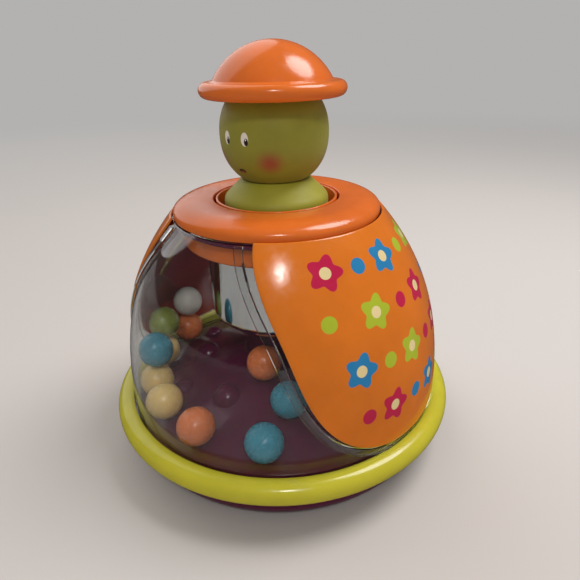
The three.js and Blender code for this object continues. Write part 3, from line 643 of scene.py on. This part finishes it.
class POPPER_OT_base(bpy.types.Operator):
    """Model the base pan with its foot ring and screw wells, and the bumper ring"""
    bl_idname = "popper.base"
    bl_label = "Base and bumper"

    def execute(self, context):
        sizes, colours = settings(context)
        maroon = finish_named("abs_maroon", glossy_abs, colours.maroon)
        rim, top = high("base_pan")[0], high("base_pan")[2]
        rim_reach, curve, foot_width = 2.5 * MM, 14.5 * MM, 18.5 * MM
        wall, belly, recess, edge = sizes.pan_wall, 14 * MM, 1.5 * MM, sizes.edge_round
        side = rim - rim_reach
        foot = side - curve
        well = foot - foot_width
        inner = side - wall
        outline = [(0, recess), (well - recess, recess, MM), (well, 0, MM)]
        outline += arc(foot, belly, side - foot, belly, -90, 0, 20)
        outline += [(side, top - FLANGE, 0.5 * MM), (rim, top - FLANGE, edge), (rim, top, edge)]
        outline += [(inner, top, 0.3 * MM)]
        outline += arc(foot, belly, inner - foot, belly - wall, 0, -90, 14)
        outline += [(well, wall), (well - recess, recess + wall), (0, recess + wall)]
        pan = turned("pan", outline, sizes.turn_steps)
        places = screw_places("base_screw", 6)
        seat, tray = low("base_screw_1")[2] + SCREW_HEAD, high("base_screw_1")[2]
        boss, pocket, post = 5.4 * MM, 3.4 * MM, 12 * MM
        combine(pan, pegs("bosses", places, boss, wall / 2, seat + 2.7 * MM), "UNION")
        combine(pan, pegs("middle_post", [(0, 0)], post, recess + wall / 2, tray - SEAT, 64), "UNION")
        combine(pan, pegs("wells", places, pocket, -MM, seat + SEAT), "DIFFERENCE")
        combine(pan, pegs("holes", places, SCREW_HOLE, 0, seat + 4 * MM), "DIFFERENCE")
        finish_piece(pan, ["base_pan"], "housing", "maroon_abs", maroon)

        tube, lip, gap = sizes.bumper_tube, 1.35 * MM, 0.8 * MM
        bottom, flange = low("bumper_ring")[2], high("clear_dome")[0]
        centre_r, centre_z = high("bumper_ring")[0] - tube, bottom + tube
        floor, roof = bottom + lip, low("clear_dome")[2] + FOOT_FLANGE + SEAT
        mouth, groove = flange - sizes.dome_flange + gap, flange + SEAT
        opening = math.degrees(math.acos((mouth - centre_r) / tube))
        outline = arc(centre_r, centre_z, tube, tube, -opening, opening, 40)
        outline += [(mouth, roof), (groove, roof), (groove, floor), (mouth, floor)]
        ring = turned("bumper", outline, sizes.turn_steps)
        lime = finish_named("abs_lime", glossy_abs, colours.lime)
        finish_piece(ring, ["bumper_ring"], "housing", "lime_gloss", lime)
        return {"FINISHED"}


class POPPER_OT_dome(bpy.types.Operator):
    """Model the clear dome with its foot flange, its mouth and the lips round the wings"""
    bl_idname = "popper.dome"
    bl_label = "Clear dome"

    def execute(self, context):
        sizes, _ = settings(context)
        wall, mouth, edge, chamfer, steps = sizes.dome_wall, 47.2 * MM, 0.4 * MM, 0.6 * MM, 48
        bottom, top = heights("clear_dome")
        flange = high("clear_dome")[0]
        outline = [(flange - sizes.dome_flange - wall, bottom), (flange, bottom, edge)]
        outline += [(flange, bottom + FOOT_FLANGE, edge)]
        outline += [dome_point(sizes, i / steps, 0) for i in range(steps + 1)]
        inside = [dome_point(sizes, i / steps, -wall) for i in range(steps, -1, -1)]
        outline += [(mouth + chamfer, top), (mouth, top - chamfer), (mouth, inside[0][1])]
        outline += inside
        dome = turned("dome", outline, sizes.turn_steps)
        lips = [self.lip(sizes, turn) for turn in (0, math.pi)]
        make_active(dome)
        for lip in lips:
            lip.select_set(True)
        bpy.ops.object.join()
        smooth(dome)
        finish_piece(dome, ["clear_dome"], "housing", "clear_styrene",
                     finish_named("styrene_clear", clear_styrene))
        return {"FINISHED"}

    def lip(self, sizes, turn):
        """A raised strip along the sides and foot of one wing, just off the dome's wall."""
        head = dome_point(sizes, 0.995, 0)[1]
        count, gap, lift, corner, near = 140, 0.4 * MM, 0.03 * MM, 0.4 * MM, 0.01
        width, height = sizes.lip_width, sizes.lip_height
        section = [(0, lift), (0, height - corner), (corner, height), (width - corner, height),
                   (width, height - corner), (width, lift), (0, lift)]
        sides = len(section) - 1
        share = min((head - sizes.wing_middle) / sizes.wing_rise, 1)
        first = -math.asin(share ** (sizes.wing_power_up / 2))
        centre = on_dome(sizes, 0, sizes.wing_middle, 0)

        def place(s, t):
            angle = first + (s + 1) / 2 * (math.pi - 2 * first)
            reach, offset = section[round((t + 1) / 2 * sides)]
            here = self.wing_outline(sizes, angle)
            along = self.wing_outline(sizes, angle + near) - self.wing_outline(sizes, angle - near)
            slope = (on_dome(sizes, 0, here.z, 0).x - on_dome(sizes, 0, here.z + MM, 0).x) / MM
            away = along.cross(Vector((*here.xy.normalized(), slope))).normalized()
            if away.dot(here - centre) < 0:
                away.negate()
            point = here + away * (gap + reach)
            z = min(point.z, head)
            return (*(point.xy.normalized() * on_dome(sizes, 0, z, offset).x), z)

        strip = draped("lip", count, sides, place)
        bpy.ops.mesh.fill_holes(sides=0)
        close_mesh()
        start_clean()
        strip.data.transform(Matrix.Rotation(turn, 4, "Z"))
        return strip

    def wing_outline(self, sizes, angle):
        """A point of the wing's outline on the dome, from one side round the foot to the other."""
        over = math.sin(angle) < 0
        reach = sizes.wing_rise if over else -sizes.wing_drop
        power = 2 / (sizes.wing_power_up if over else sizes.wing_power_down)
        across = math.copysign(abs(math.cos(angle)) ** power, math.cos(angle)) * sizes.wing_half_width
        return on_dome(sizes, across, sizes.wing_middle + reach * abs(math.sin(angle)) ** power, 0)


class POPPER_OT_wings(bpy.types.Operator):
    """Model one printed wing over the dome's side and copy it to the other side"""
    bl_idname = "popper.wings"
    bl_label = "Printed wings"

    def execute(self, context):
        sizes, colours = settings(context)
        offset, crest, steps = sizes.wing_stand, 1.004, 80
        top = dome_point(sizes, crest, offset)[1]

        def place(s, t):
            if t >= 0:
                z = sizes.wing_middle + t * (top - sizes.wing_middle)
                return on_dome(sizes, s * wing_edge(sizes, z), z, offset)
            reach, power = max(abs(s), abs(t)), sizes.wing_power_down
            norm = (abs(s) ** power + abs(t) ** power) ** (1 / power)
            z = sizes.wing_middle + sizes.wing_drop * t * reach / norm
            return on_dome(sizes, sizes.wing_half_width * s * reach / norm, z, offset)

        wing = draped("wing_print_left", steps, steps, place)
        bpy.ops.mesh.normals_make_consistent(inside=False)
        mesh = bmesh.from_edit_mesh(wing.data)
        mesh.faces.ensure_lookup_table()
        if mesh.faces[0].normal.x < 0:
            bpy.ops.mesh.flip_normals()
        make_active(wing)
        for _ in range(2):
            bpy.ops.object.material_slot_add()
        modified(wing, "SOLIDIFY", thickness=sizes.wing_thickness, offset=-1, material_offset=1)
        modified(wing, "BEVEL", width=sizes.edge_round, segments=3, limit_method="ANGLE",
                 angle_limit=math.radians(50))
        smooth(wing, 40)
        other = copy_to(wing, "wing_print_right", Matrix.Rotation(math.pi, 4, "Z"))
        for piece, node, turn in ((wing, "wing_left", 0), (other, "wing_right", math.pi)):
            print_finish = finish_named(f"abs_{node}", printed_abs, sizes, colours, turn)
            finish_piece(piece, [node], "housing", "wing_print", print_finish)
            # The inner faces take the redder wing back finish: a painted glow of light shining through the
            # wings
            piece.data.materials.append(finish_named("abs_wing_back", glossy_abs, colours.wing_back))
        return {"FINISHED"}


class POPPER_OT_neck(bpy.types.Operator):
    """Model the cap, the retainer skirt under it, the guide sleeve and the mirror column"""
    bl_idname = "popper.neck"
    bl_label = "Cap, sleeve and mirror column"

    def execute(self, context):
        sizes, colours = settings(context)
        steps, ledge, places = sizes.turn_steps, low("collar")[2], screw_places("cap_screw", 4)
        orange = finish_named("abs_orange", glossy_abs, colours.orange)
        radius, top = high("top_cap")[0], high("top_cap")[2]
        bottom = high("clear_dome")[2] + SEAT
        side, flat, hole, wall = bottom + 2 * MM, 41 * MM, 31 * MM, 2.6 * MM
        outline = [(hole, top - wall), (hole, top, 0.5 * MM), (flat, top)]
        outline += arc(flat, side, radius - flat, top - side, 90, 0, 24)
        outline += [(radius, bottom, 0.4 * MM), (radius - wall, bottom)]
        outline += arc(flat, side, radius - wall - flat, top - wall - side, 0, 90, 12)
        cap = turned("cap", outline, steps)
        post, post_foot, depth = 3.6 * MM, ledge - SEAT, 7 * MM
        combine(cap, pegs("posts", places, post, post_foot, top - wall / 2), "UNION")
        combine(cap, pegs("holes", places, SCREW_HOLE, post_foot - MM, post_foot + depth), "DIFFERENCE")
        finish_piece(cap, ["top_cap"], "housing", "orange_gloss", orange)

        bottom, top = heights("cap_retainer")
        skirt, bead, mouth, wall = 46.6 * MM, high("cap_retainer")[0], 36.4 * MM, 1.8 * MM
        bead_foot, floor = top - 2 * MM, bottom + 2.4 * MM
        outline = [
            (mouth, bottom, 0.5 * MM), (skirt, bottom, 1.2 * MM), (skirt, bead_foot, 0.3 * MM),
            (bead, bead_foot, 0.5 * MM), (bead, top, 0.4 * MM), (skirt - wall, top),
            (skirt - wall, floor), (mouth, floor)]
        retainer = turned("retainer", outline, steps)
        combine(retainer, pegs("holes", places, SCREW_HOLE, bottom - MM, top), "DIFFERENCE")
        # The bead's faces take the maroon finish: painted shade, a dark band under the cap's rim where the
        # dome's thick shoulder dims the view
        for face in retainer.data.polygons:
            place = face.center
            face.material_index = int(place.z > bead_foot - 0.2 * MM and place.xy.length > skirt - MM)
        finish_piece(retainer, ["cap_retainer"], "housing", "orange_gloss", orange)
        retainer.data.materials.append(finish_named("abs_maroon", glossy_abs, colours.maroon))

        bottom, top = heights("guide_sleeve")
        bore, outer, reach, stop = 28.6 * MM, 29.9 * MM, high("guide_sleeve")[0], 26 * MM
        flange_top, stop_top, rib_top, lip = ledge - 2 * SEAT, ledge + 2.2 * MM, ledge + 1.1 * MM, 0.45 * MM
        flange_foot = flange_top - FLANGE
        outline = [
            (bore, bottom), (outer, bottom), (outer, flange_foot), (reach, flange_foot),
            (reach, flange_top), (outer, flange_top), (outer, top, lip), (bore, top, lip),
            (bore, stop_top), (stop, stop_top, 0.4 * MM), (stop, ledge), (bore, ledge)]
        sleeve = turned("sleeve", outline, steps)
        combine(sleeve, pegs("holes", places, SCREW_HOLE, flange_foot - MM, ledge), "DIFFERENCE")
        rib_depth, rib_width, rib_middle = 2.7 * MM, 2.4 * MM, 27.9 * MM
        for i in range(3):
            rib = block("rib", (rib_depth, rib_width, rib_top - bottom))
            turn = Matrix.Rotation(math.radians(120 * i), 4, "Z")
            rib.data.transform(turn @ Matrix.Translation((rib_middle, 0, (rib_top + bottom) / 2)))
            combine(sleeve, rib, "UNION")
        finish_piece(sleeve, ["guide_sleeve"], "housing", "orange_gloss", orange)

        bottom, top = heights("mirror_column")
        radius, corner, wall, hole = 36 * MM, 5 * MM, 1.6 * MM, 7.3 * MM
        reach, flange_foot = high("mirror_column")[0], top - FLANGE
        outline = [(hole, bottom), *arc(radius - corner, bottom + corner, corner, corner, -90, 0, 14)]
        outline += [(radius, flange_foot), (reach, flange_foot), (reach, top), (radius - wall, top)]
        outline += arc(radius - corner, bottom + corner, corner - wall, corner - wall, 0, -90, 8)
        outline += [(hole, bottom + wall)]
        column = turned("column", outline, steps)
        combine(column, pegs("holes", places, SCREW_HOLE, flange_foot - MM, top + MM), "DIFFERENCE")
        finish_piece(column, ["mirror_column"], "housing", "mirror_plate",
                     finish_named("plated_mirror", mirror_plate))
        return {"FINISHED"}


class POPPER_OT_press_top(bpy.types.Operator):
    """Model the collar, the head with its painted face, and the hat"""
    bl_idname = "popper.press_top"
    bl_label = "Collar, head and hat"

    def execute(self, context):
        sizes, colours = settings(context)
        steps = sizes.turn_steps
        bottom, top = heights("collar")
        radius, neck, rise, wall, bore = high("collar")[0], 16.5 * MM, 8.6 * MM, 2.4 * MM, 10.3 * MM
        shoulder = top - rise
        outline = [
            (radius - wall, bottom), (radius, bottom, 0.5 * MM), (radius, shoulder, 5 * MM),
            (neck, top, 0.8 * MM), (bore, top), (bore, top - wall), (neck, top - wall),
            (radius - wall, shoulder - 0.5 * wall)]
        finish_piece(turned("collar_soft", outline, steps), ["collar"], "plunger", "lime_soft",
                     finish_named("vinyl_collar", matte_vinyl, colours.collar))

        foot, crown = heights("head")
        centre, count = foot + 20.4 * MM, 60
        levels = [foot + (crown - foot) * i / count for i in range(count + 1)]
        outline = [(bore, foot), *[(head_radius(z - centre), z) for z in levels], (bore, crown)]
        finish_piece(turned("head_soft", outline, steps), ["head"], "plunger", "head_soft",
                     finish_named("vinyl_head_painted_shade", painted_vinyl, colours, (0, 0, centre)))

        tube, brim, (peg_foot, top) = sizes.brim_tube, high("hat")[0], heights("hat")
        brim_z, rim, mouth, peg, wall = centre + 19.1 * MM, 27.5 * MM, 20.9 * MM, 6.3 * MM, 2.6 * MM
        shoulder, chamfer = brim_z + tube, 0.6 * MM
        ball = (rim ** 2 + (top - shoulder) ** 2) / (2 * (top - shoulder))
        roof = ball - wall
        opening, peg_angle, mouth_angle = (
            math.degrees(math.acos(share)) for share in (rim / ball, peg / roof, mouth / roof))
        outline = [(0, peg_foot), (peg - chamfer, peg_foot), (peg, peg_foot + chamfer)]
        outline += arc(0, top - ball, roof, roof, peg_angle, mouth_angle, 16)
        outline += [(mouth, brim_z - 0.8 * tube, 0.8 * MM), (brim - 2 * tube, brim_z - tube, MM)]
        outline += arc(brim - tube, brim_z, tube, tube, -90, 90, 24)
        # A small hollow where the crown rises from the brim
        outline += [(rim + 1.6 * MM, shoulder + 0.12 * MM), (rim + 0.7 * MM, shoulder + 0.4 * MM)]
        outline += arc(0, top - ball, ball, ball, opening + 1.5, 90, 30)
        outline[-1] = (0, outline[-1][1])
        orange = finish_named("abs_orange", glossy_abs, colours.orange)
        finish_piece(turned("hat_gloss", outline, steps), ["hat"], "plunger", "orange_gloss", orange)
        return {"FINISHED"}


class POPPER_OT_spinner(bpy.types.Operator):
    """Model the spinner cone with its kicker bumps, and the cover on its hub"""
    bl_idname = "popper.spinner"
    bl_label = "Spinner"

    def execute(self, context):
        sizes, colours = settings(context)
        maroon = finish_named("abs_maroon", glossy_abs, colours.maroon)
        radius, top = high("spinner_disc")[0], high("spinner_disc")[2]
        hub, hub_height, wall, hole = 20 * MM, 13 * MM, 3.5 * MM, 8.4 * MM
        socket, socket_wall, skin_depth = 11.9 * MM, 2.4 * MM, 2.2 * MM
        post, lift = 23 * MM, 3.05 * MM
        edge = high("floor_tray")[2] - post + lift
        slope = math.tan(SPINNER_SLOPE)
        skin = skin_depth / math.cos(SPINNER_SLOPE)
        cone, floor = top - hub_height, low("ratchet_ring")[2] - SEAT
        bearing_foot, bearing_top = heights("hub_bearing")
        reach = radius - (bearing_top + skin - edge) / slope
        outline = [
            (socket, bearing_foot), (socket + socket_wall, bearing_foot),
            (socket + socket_wall, bearing_top), (reach, bearing_top), (radius, edge - skin, 0.5 * MM),
            (radius, edge, 0.9 * MM), (hub, cone, 2.5 * MM), (hub, top, 0.4 * MM), (hub - wall, top),
            (hub - wall, floor), (hole, floor), (hole, bearing_top + SEAT), (socket, bearing_top + SEAT)]
        disc = turned("spinner_cone", outline, sizes.turn_steps)
        # Two rings of bumps: inset from the edge, ball and rise in millimetres, and turn in degrees
        for inset, ball, rise, turn in ((33.5, 8, 5, 2), (20.5, 6.5, 3.5, 32)):
            surface = edge + inset * MM * slope
            bumps = self.bumps(radius - inset * MM, surface, ball * MM, rise * MM, turn)
            combine(disc, bumps, "UNION")
        finish_piece(disc, ["spinner_disc"], "spinner", "maroon_abs", maroon)

        bottom, crown = heights("hub_cover")
        shaft = 4.4 * MM
        outline = [(shaft, bottom), (hub, bottom, 0.4 * MM), (hub, crown, 3 * MM), (shaft, crown, 0.5 * MM)]
        finish_piece(turned("hub_cap", outline, 96), ["hub_cover"], "spinner", "maroon_abs", maroon)
        return {"FINISHED"}

    def bumps(self, radius, surface, ball, rise, turn):
        """A ring of six bumps: caps of balls that stand out of the cone."""
        start_clean()
        made, sunk, lean = [], 1.2 * MM, math.tan(SPINNER_SLOPE)
        for i in range(6):
            angle = math.radians(turn + 60 * i)
            x, y = math.sin(angle), -math.cos(angle)
            bpy.ops.mesh.primitive_uv_sphere_add(
                segments=32, ring_count=20, radius=ball,
                location=(radius * x, radius * y, surface + rise - ball))
            made.append(bpy.context.object)
            open_mesh(made[-1])
            bpy.ops.mesh.bisect(
                plane_co=(radius * x, radius * y, surface - sunk), plane_no=(x * lean, y * lean, 1),
                use_fill=True, clear_inner=True)
            bpy.ops.object.mode_set(mode="OBJECT")
        return joined("bumps", made)


class POPPER_OT_balls(bpy.types.Operator):
    """Model one ball with its moulding seam and copy it to each ball's place"""
    bl_idname = "popper.balls"
    bl_label = "Balls"

    def execute(self, context):
        sizes, colours = settings(context)
        slots = {part["node"]: part["material_slot"] for part in frame["record"]["subparts"]}
        radius, seam_half = (high("ball_01")[2] - low("ball_01")[2]) / 2, 0.4 * MM
        start_clean()
        bpy.ops.mesh.primitive_uv_sphere_add(segments=64, ring_count=32, radius=radius)
        ball = name_active("ball_pattern")
        bpy.ops.object.mode_set(mode="EDIT")
        bpy.ops.mesh.select_all(action="DESELECT")
        mesh = bmesh.from_edit_mesh(ball.data)
        for edge in mesh.edges:
            edge.select_set(all(abs(v.co.z) < TINY for v in edge.verts))
        bmesh.update_edit_mesh(ball.data)
        bpy.ops.mesh.bevel(offset=seam_half, segments=4, affect="EDGES")
        mesh = bmesh.from_edit_mesh(ball.data)
        for vertex in mesh.verts:
            vertex.select_set(abs(vertex.co.z) < TINY)
        mesh.select_flush_mode()
        bmesh.update_edit_mesh(ball.data)
        shrink = 1 - sizes.seam_depth / radius
        bpy.ops.transform.resize(value=(shrink, shrink, 1))
        smooth(ball, 60)
        for i in range(1, 14):
            node = f"ball_{i:02d}"
            slot = slots[node]
            # Each seam lies another way
            tilt = Euler((0.6 + 1.7 * i, 0.9 * i, 2.3 * i)).to_matrix().to_4x4()
            piece = copy_to(ball, f"loose_{node}", Matrix.Translation(middle(node)) @ tilt)
            finish = finish_named(f"polythene_{slot}", ball_polythene, getattr(colours, slot))
            finish_piece(piece, [node], node, slot, finish)
        bpy.data.objects.remove(ball, do_unlink=True)
        return {"FINISHED"}


class POPPER_OT_screws(bpy.types.Operator):
    """Model the base and cap screws with their cross recesses"""
    bl_idname = "popper.screws"
    bl_label = "Screws"

    def execute(self, context):
        steel = finish_named("steel_zinc", bright_steel)
        for kind, count in (("base_screw", 6), ("cap_screw", 4)):
            bottom, top = heights(f"{kind}_1")
            pattern = self.screw(top - bottom)
            for i, (x, y) in enumerate(screw_places(kind, count), 1):
                place = Matrix.Translation((x, y, bottom)) @ Matrix.Rotation(0.7 * i, 4, "Z")
                piece = copy_to(pattern, f"{kind}_cross_{i}", place)
                finish_piece(piece, [f"{kind}_{i}"], "housing", "steel_screw", steel)
            bpy.data.objects.remove(pattern, do_unlink=True)
        return {"FINISHED"}

    def screw(self, tip):
        """A pan-head screw on its head, with thread ridges and a cross cut in the head."""
        shank, core, head, rise = 1.5 * MM, 1.15 * MM, 3 * MM, SCREW_HEAD
        pitch, ridge, point = 1.1 * MM, 0.9 * MM, 1.6 * MM
        outline = [(0, 0), (head * 0.62, 0), (head * 0.85, 0.35 * MM), (head, MM), (head, rise)]
        outline += [(core, rise)]
        z, last = rise + 0.6 * MM, tip - 2.4 * MM
        while z < last:
            outline += [(core, z), (shank, z + ridge / 2), (core, z + ridge)]
            z += pitch
        outline += [(core, tip - point), (0, tip)]
        screw = turned("screw_pattern", outline, 32)
        bar, slit, depth = 3 * MM, 0.75 * MM, 1.8 * MM
        for size in ((bar, slit, depth), (slit, bar, depth)):
            combine(screw, block("bar", size), "DIFFERENCE")
        return screw


class POPPER_OT_spring(bpy.types.Operator):
    """Wind the return spring as one fixed coil; the real spring closes up as the top is pressed"""
    bl_idname = "popper.spring"
    bl_label = "Return spring"

    def execute(self, context):
        wire, radius, turns, steps = 0.8 * MM, 11.5 * MM, 6, 32
        bottom, top = low("return_spring")[2] + wire, high("return_spring")[2] - wire
        start_clean()
        bpy.ops.mesh.primitive_circle_add(vertices=12, radius=wire)
        spring = name_active("spring_wound")
        open_mesh(spring)
        bpy.ops.transform.rotate(value=math.pi / 2, orient_axis="X", center_override=(0, 0, 0))
        bpy.ops.transform.translate(value=(radius, 0, bottom))
        modified(spring, "SCREW", axis="Z", iterations=turns, steps=steps, render_steps=steps,
                 screw_offset=(top - bottom) / turns)
        bpy.ops.object.mode_set(mode="EDIT")
        bpy.ops.mesh.select_all(action="DESELECT")
        bpy.ops.mesh.select_mode(type="EDGE")
        bpy.ops.mesh.select_non_manifold()
        bpy.ops.mesh.fill_holes(sides=0)
        close_mesh()
        smooth(spring, 50)
        steel = finish_named("steel_zinc", bright_steel)
        finish_piece(spring, ["return_spring"], "housing", "steel_wire", steel)
        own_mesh(spring)
        return {"FINISHED"}


class POPPER_OT_works(bpy.types.Operator):
    """Finish the solids that stay as they are: the tray and the inner works"""
    bl_idname = "popper.works"
    bl_label = "Inner works"

    def execute(self, context):
        colours = context.scene.popper_colours
        acetal = finish_named("acetal_natural", natural_acetal, colours.acetal)
        steel = finish_named("steel_zinc", bright_steel)
        finishes = {"floor_tray": finish_named("abs_maroon", glossy_abs, colours.maroon),
                    "twist_spindle": steel}
        for node in ("plunger_core", "drive_plate", "clutch_driver", "ratchet_ring", "hub_bearing",
                     "thrust_washer", "spindle_bush"):
            finishes[node] = acetal
        for i in range(1, 4):
            finishes[f"plate_screw_{i}"] = steel
        for node, finish in finishes.items():
            mesh = bpy.data.objects[node].data
            mesh.materials.clear()
            mesh.materials.append(finish)
        return {"FINISHED"}


class POPPER_OT_stage(bpy.types.Operator):
    """Set the floor, the lights, the pale surroundings and the camera"""
    bl_idname = "popper.stage"
    bl_label = "Stage"

    def execute(self, context):
        scene = context.scene
        scene.view_settings.view_transform = "Standard"
        lit, seen, mirrored = 0.4, 0.5, 0.08  # strength of the surroundings as light, to the eye, in gloss
        start_clean()
        bpy.ops.mesh.primitive_plane_add(size=40)
        floor = name_active("studio_floor")
        floor.data.materials.append(finish_named("paper", studio_paper, scene.popper_colours.floor, seen))
        floor.visible_glossy = False

        world = bpy.data.worlds.new("studio")
        scene.world = world
        world.use_nodes = True
        tree = world.node_tree
        path = add_node(tree, "LightPath")
        eye = add_node(tree, "Math", {
            0: path.outputs["Is Camera Ray"], 1: path.outputs["Is Transmission Ray"]}, operation="MAXIMUM")
        glow = add_node(tree, "MapRange", {"Value": eye, 3: lit, 4: seen})
        dim = add_node(tree, "MapRange", {"Value": path.outputs["Glossy Depth"], 3: glow, 4: mirrored})
        background = tree.nodes["Background"]
        background.inputs["Color"].default_value = (*SURROUNDINGS, 1)
        tree.links.new(dim.outputs["Result"], background.inputs["Strength"])

        target = Vector((0, 0, 0.1))
        for name, place, size, power in (
                ("key", (0.30, 0.42, 0.95), 0.55, 6.4), ("fill", (-1.30, 0.25, 1.00), 2.1, 10.0),
                ("front", (0.50, -0.52, 0.85), 0.16, 1.7)):
            light = bpy.data.lights.new(name, "AREA")
            light.shape = "DISK"
            light.size = size
            light.energy = power
            lamp = bpy.data.objects.new(name, light)
            scene.collection.objects.link(lamp)
            lamp.location = place
            lamp.rotation_euler = (target - Vector(place)).to_track_quat("-Z", "Y").to_euler()

        camera = bpy.data.objects.new("camera", bpy.data.cameras.new("camera"))
        scene.collection.objects.link(camera)
        camera.data.sensor_width = 36
        camera.data.lens = 30.94
        camera.data.clip_start = 0.01
        pan, pitch, roll = 0.023, 0.454, -0.024
        ahead = Vector((math.sin(pan) * math.cos(pitch), math.cos(pan) * math.cos(pitch), -math.sin(pitch)))
        level = Vector((math.cos(pan), -math.sin(pan), 0))
        upright = level.cross(ahead)
        right = math.cos(roll) * level + math.sin(roll) * upright
        up = right.cross(ahead)
        facing = Matrix((right, up, -ahead)).transposed().to_4x4()
        turn = Matrix.Rotation(math.radians(42.5), 4, "Z")
        camera.matrix_world = Matrix.Translation((0.1640, -0.1790, 0.1970)) @ turn @ facing
        scene.camera = camera
        return {"FINISHED"}


OPERATORS = (
    POPPER_OT_base, POPPER_OT_dome, POPPER_OT_wings, POPPER_OT_neck, POPPER_OT_press_top, POPPER_OT_spinner,
    POPPER_OT_balls, POPPER_OT_screws, POPPER_OT_spring, POPPER_OT_works, POPPER_OT_stage)


class POPPER_PT_pieces(bpy.types.Panel):
    """Lists the pieces of the toy"""
    bl_idname = "POPPER_PT_pieces"
    bl_label = "Ball popper"
    bl_space_type = "VIEW_3D"
    bl_region_type = "UI"
    bl_category = "Popper"

    def draw(self, context):
        for operator in OPERATORS:
            self.layout.operator(operator.bl_idname)
        for group in (context.scene.popper_sizes, context.scene.popper_colours):
            box = self.layout.box()
            for name in group.bl_rna.properties.keys():
                if name not in {"rna_type", "name"}:
                    box.prop(group, name)


CLASSES = (PopperSizes, PopperColours, *OPERATORS, POPPER_PT_pieces)


def register():
    for item in CLASSES:
        bpy.utils.register_class(item)
    bpy.types.Scene.popper_sizes = PointerProperty(type=PopperSizes)
    bpy.types.Scene.popper_colours = PointerProperty(type=PopperColours)


def unregister():
    del bpy.types.Scene.popper_colours
    del bpy.types.Scene.popper_sizes
    for item in reversed(CLASSES):
        bpy.utils.unregister_class(item)


def main():
    register()
    bpy.ops.popper.base()
    bpy.ops.popper.dome()
    bpy.ops.popper.wings()
    bpy.ops.popper.neck()
    bpy.ops.popper.press_top()
    bpy.ops.popper.spinner()
    bpy.ops.popper.balls()
    bpy.ops.popper.screws()
    bpy.ops.popper.spring()
    bpy.ops.popper.works()
    bpy.ops.popper.stage()
    start_clean()


if __name__ == "__main__":
    main()
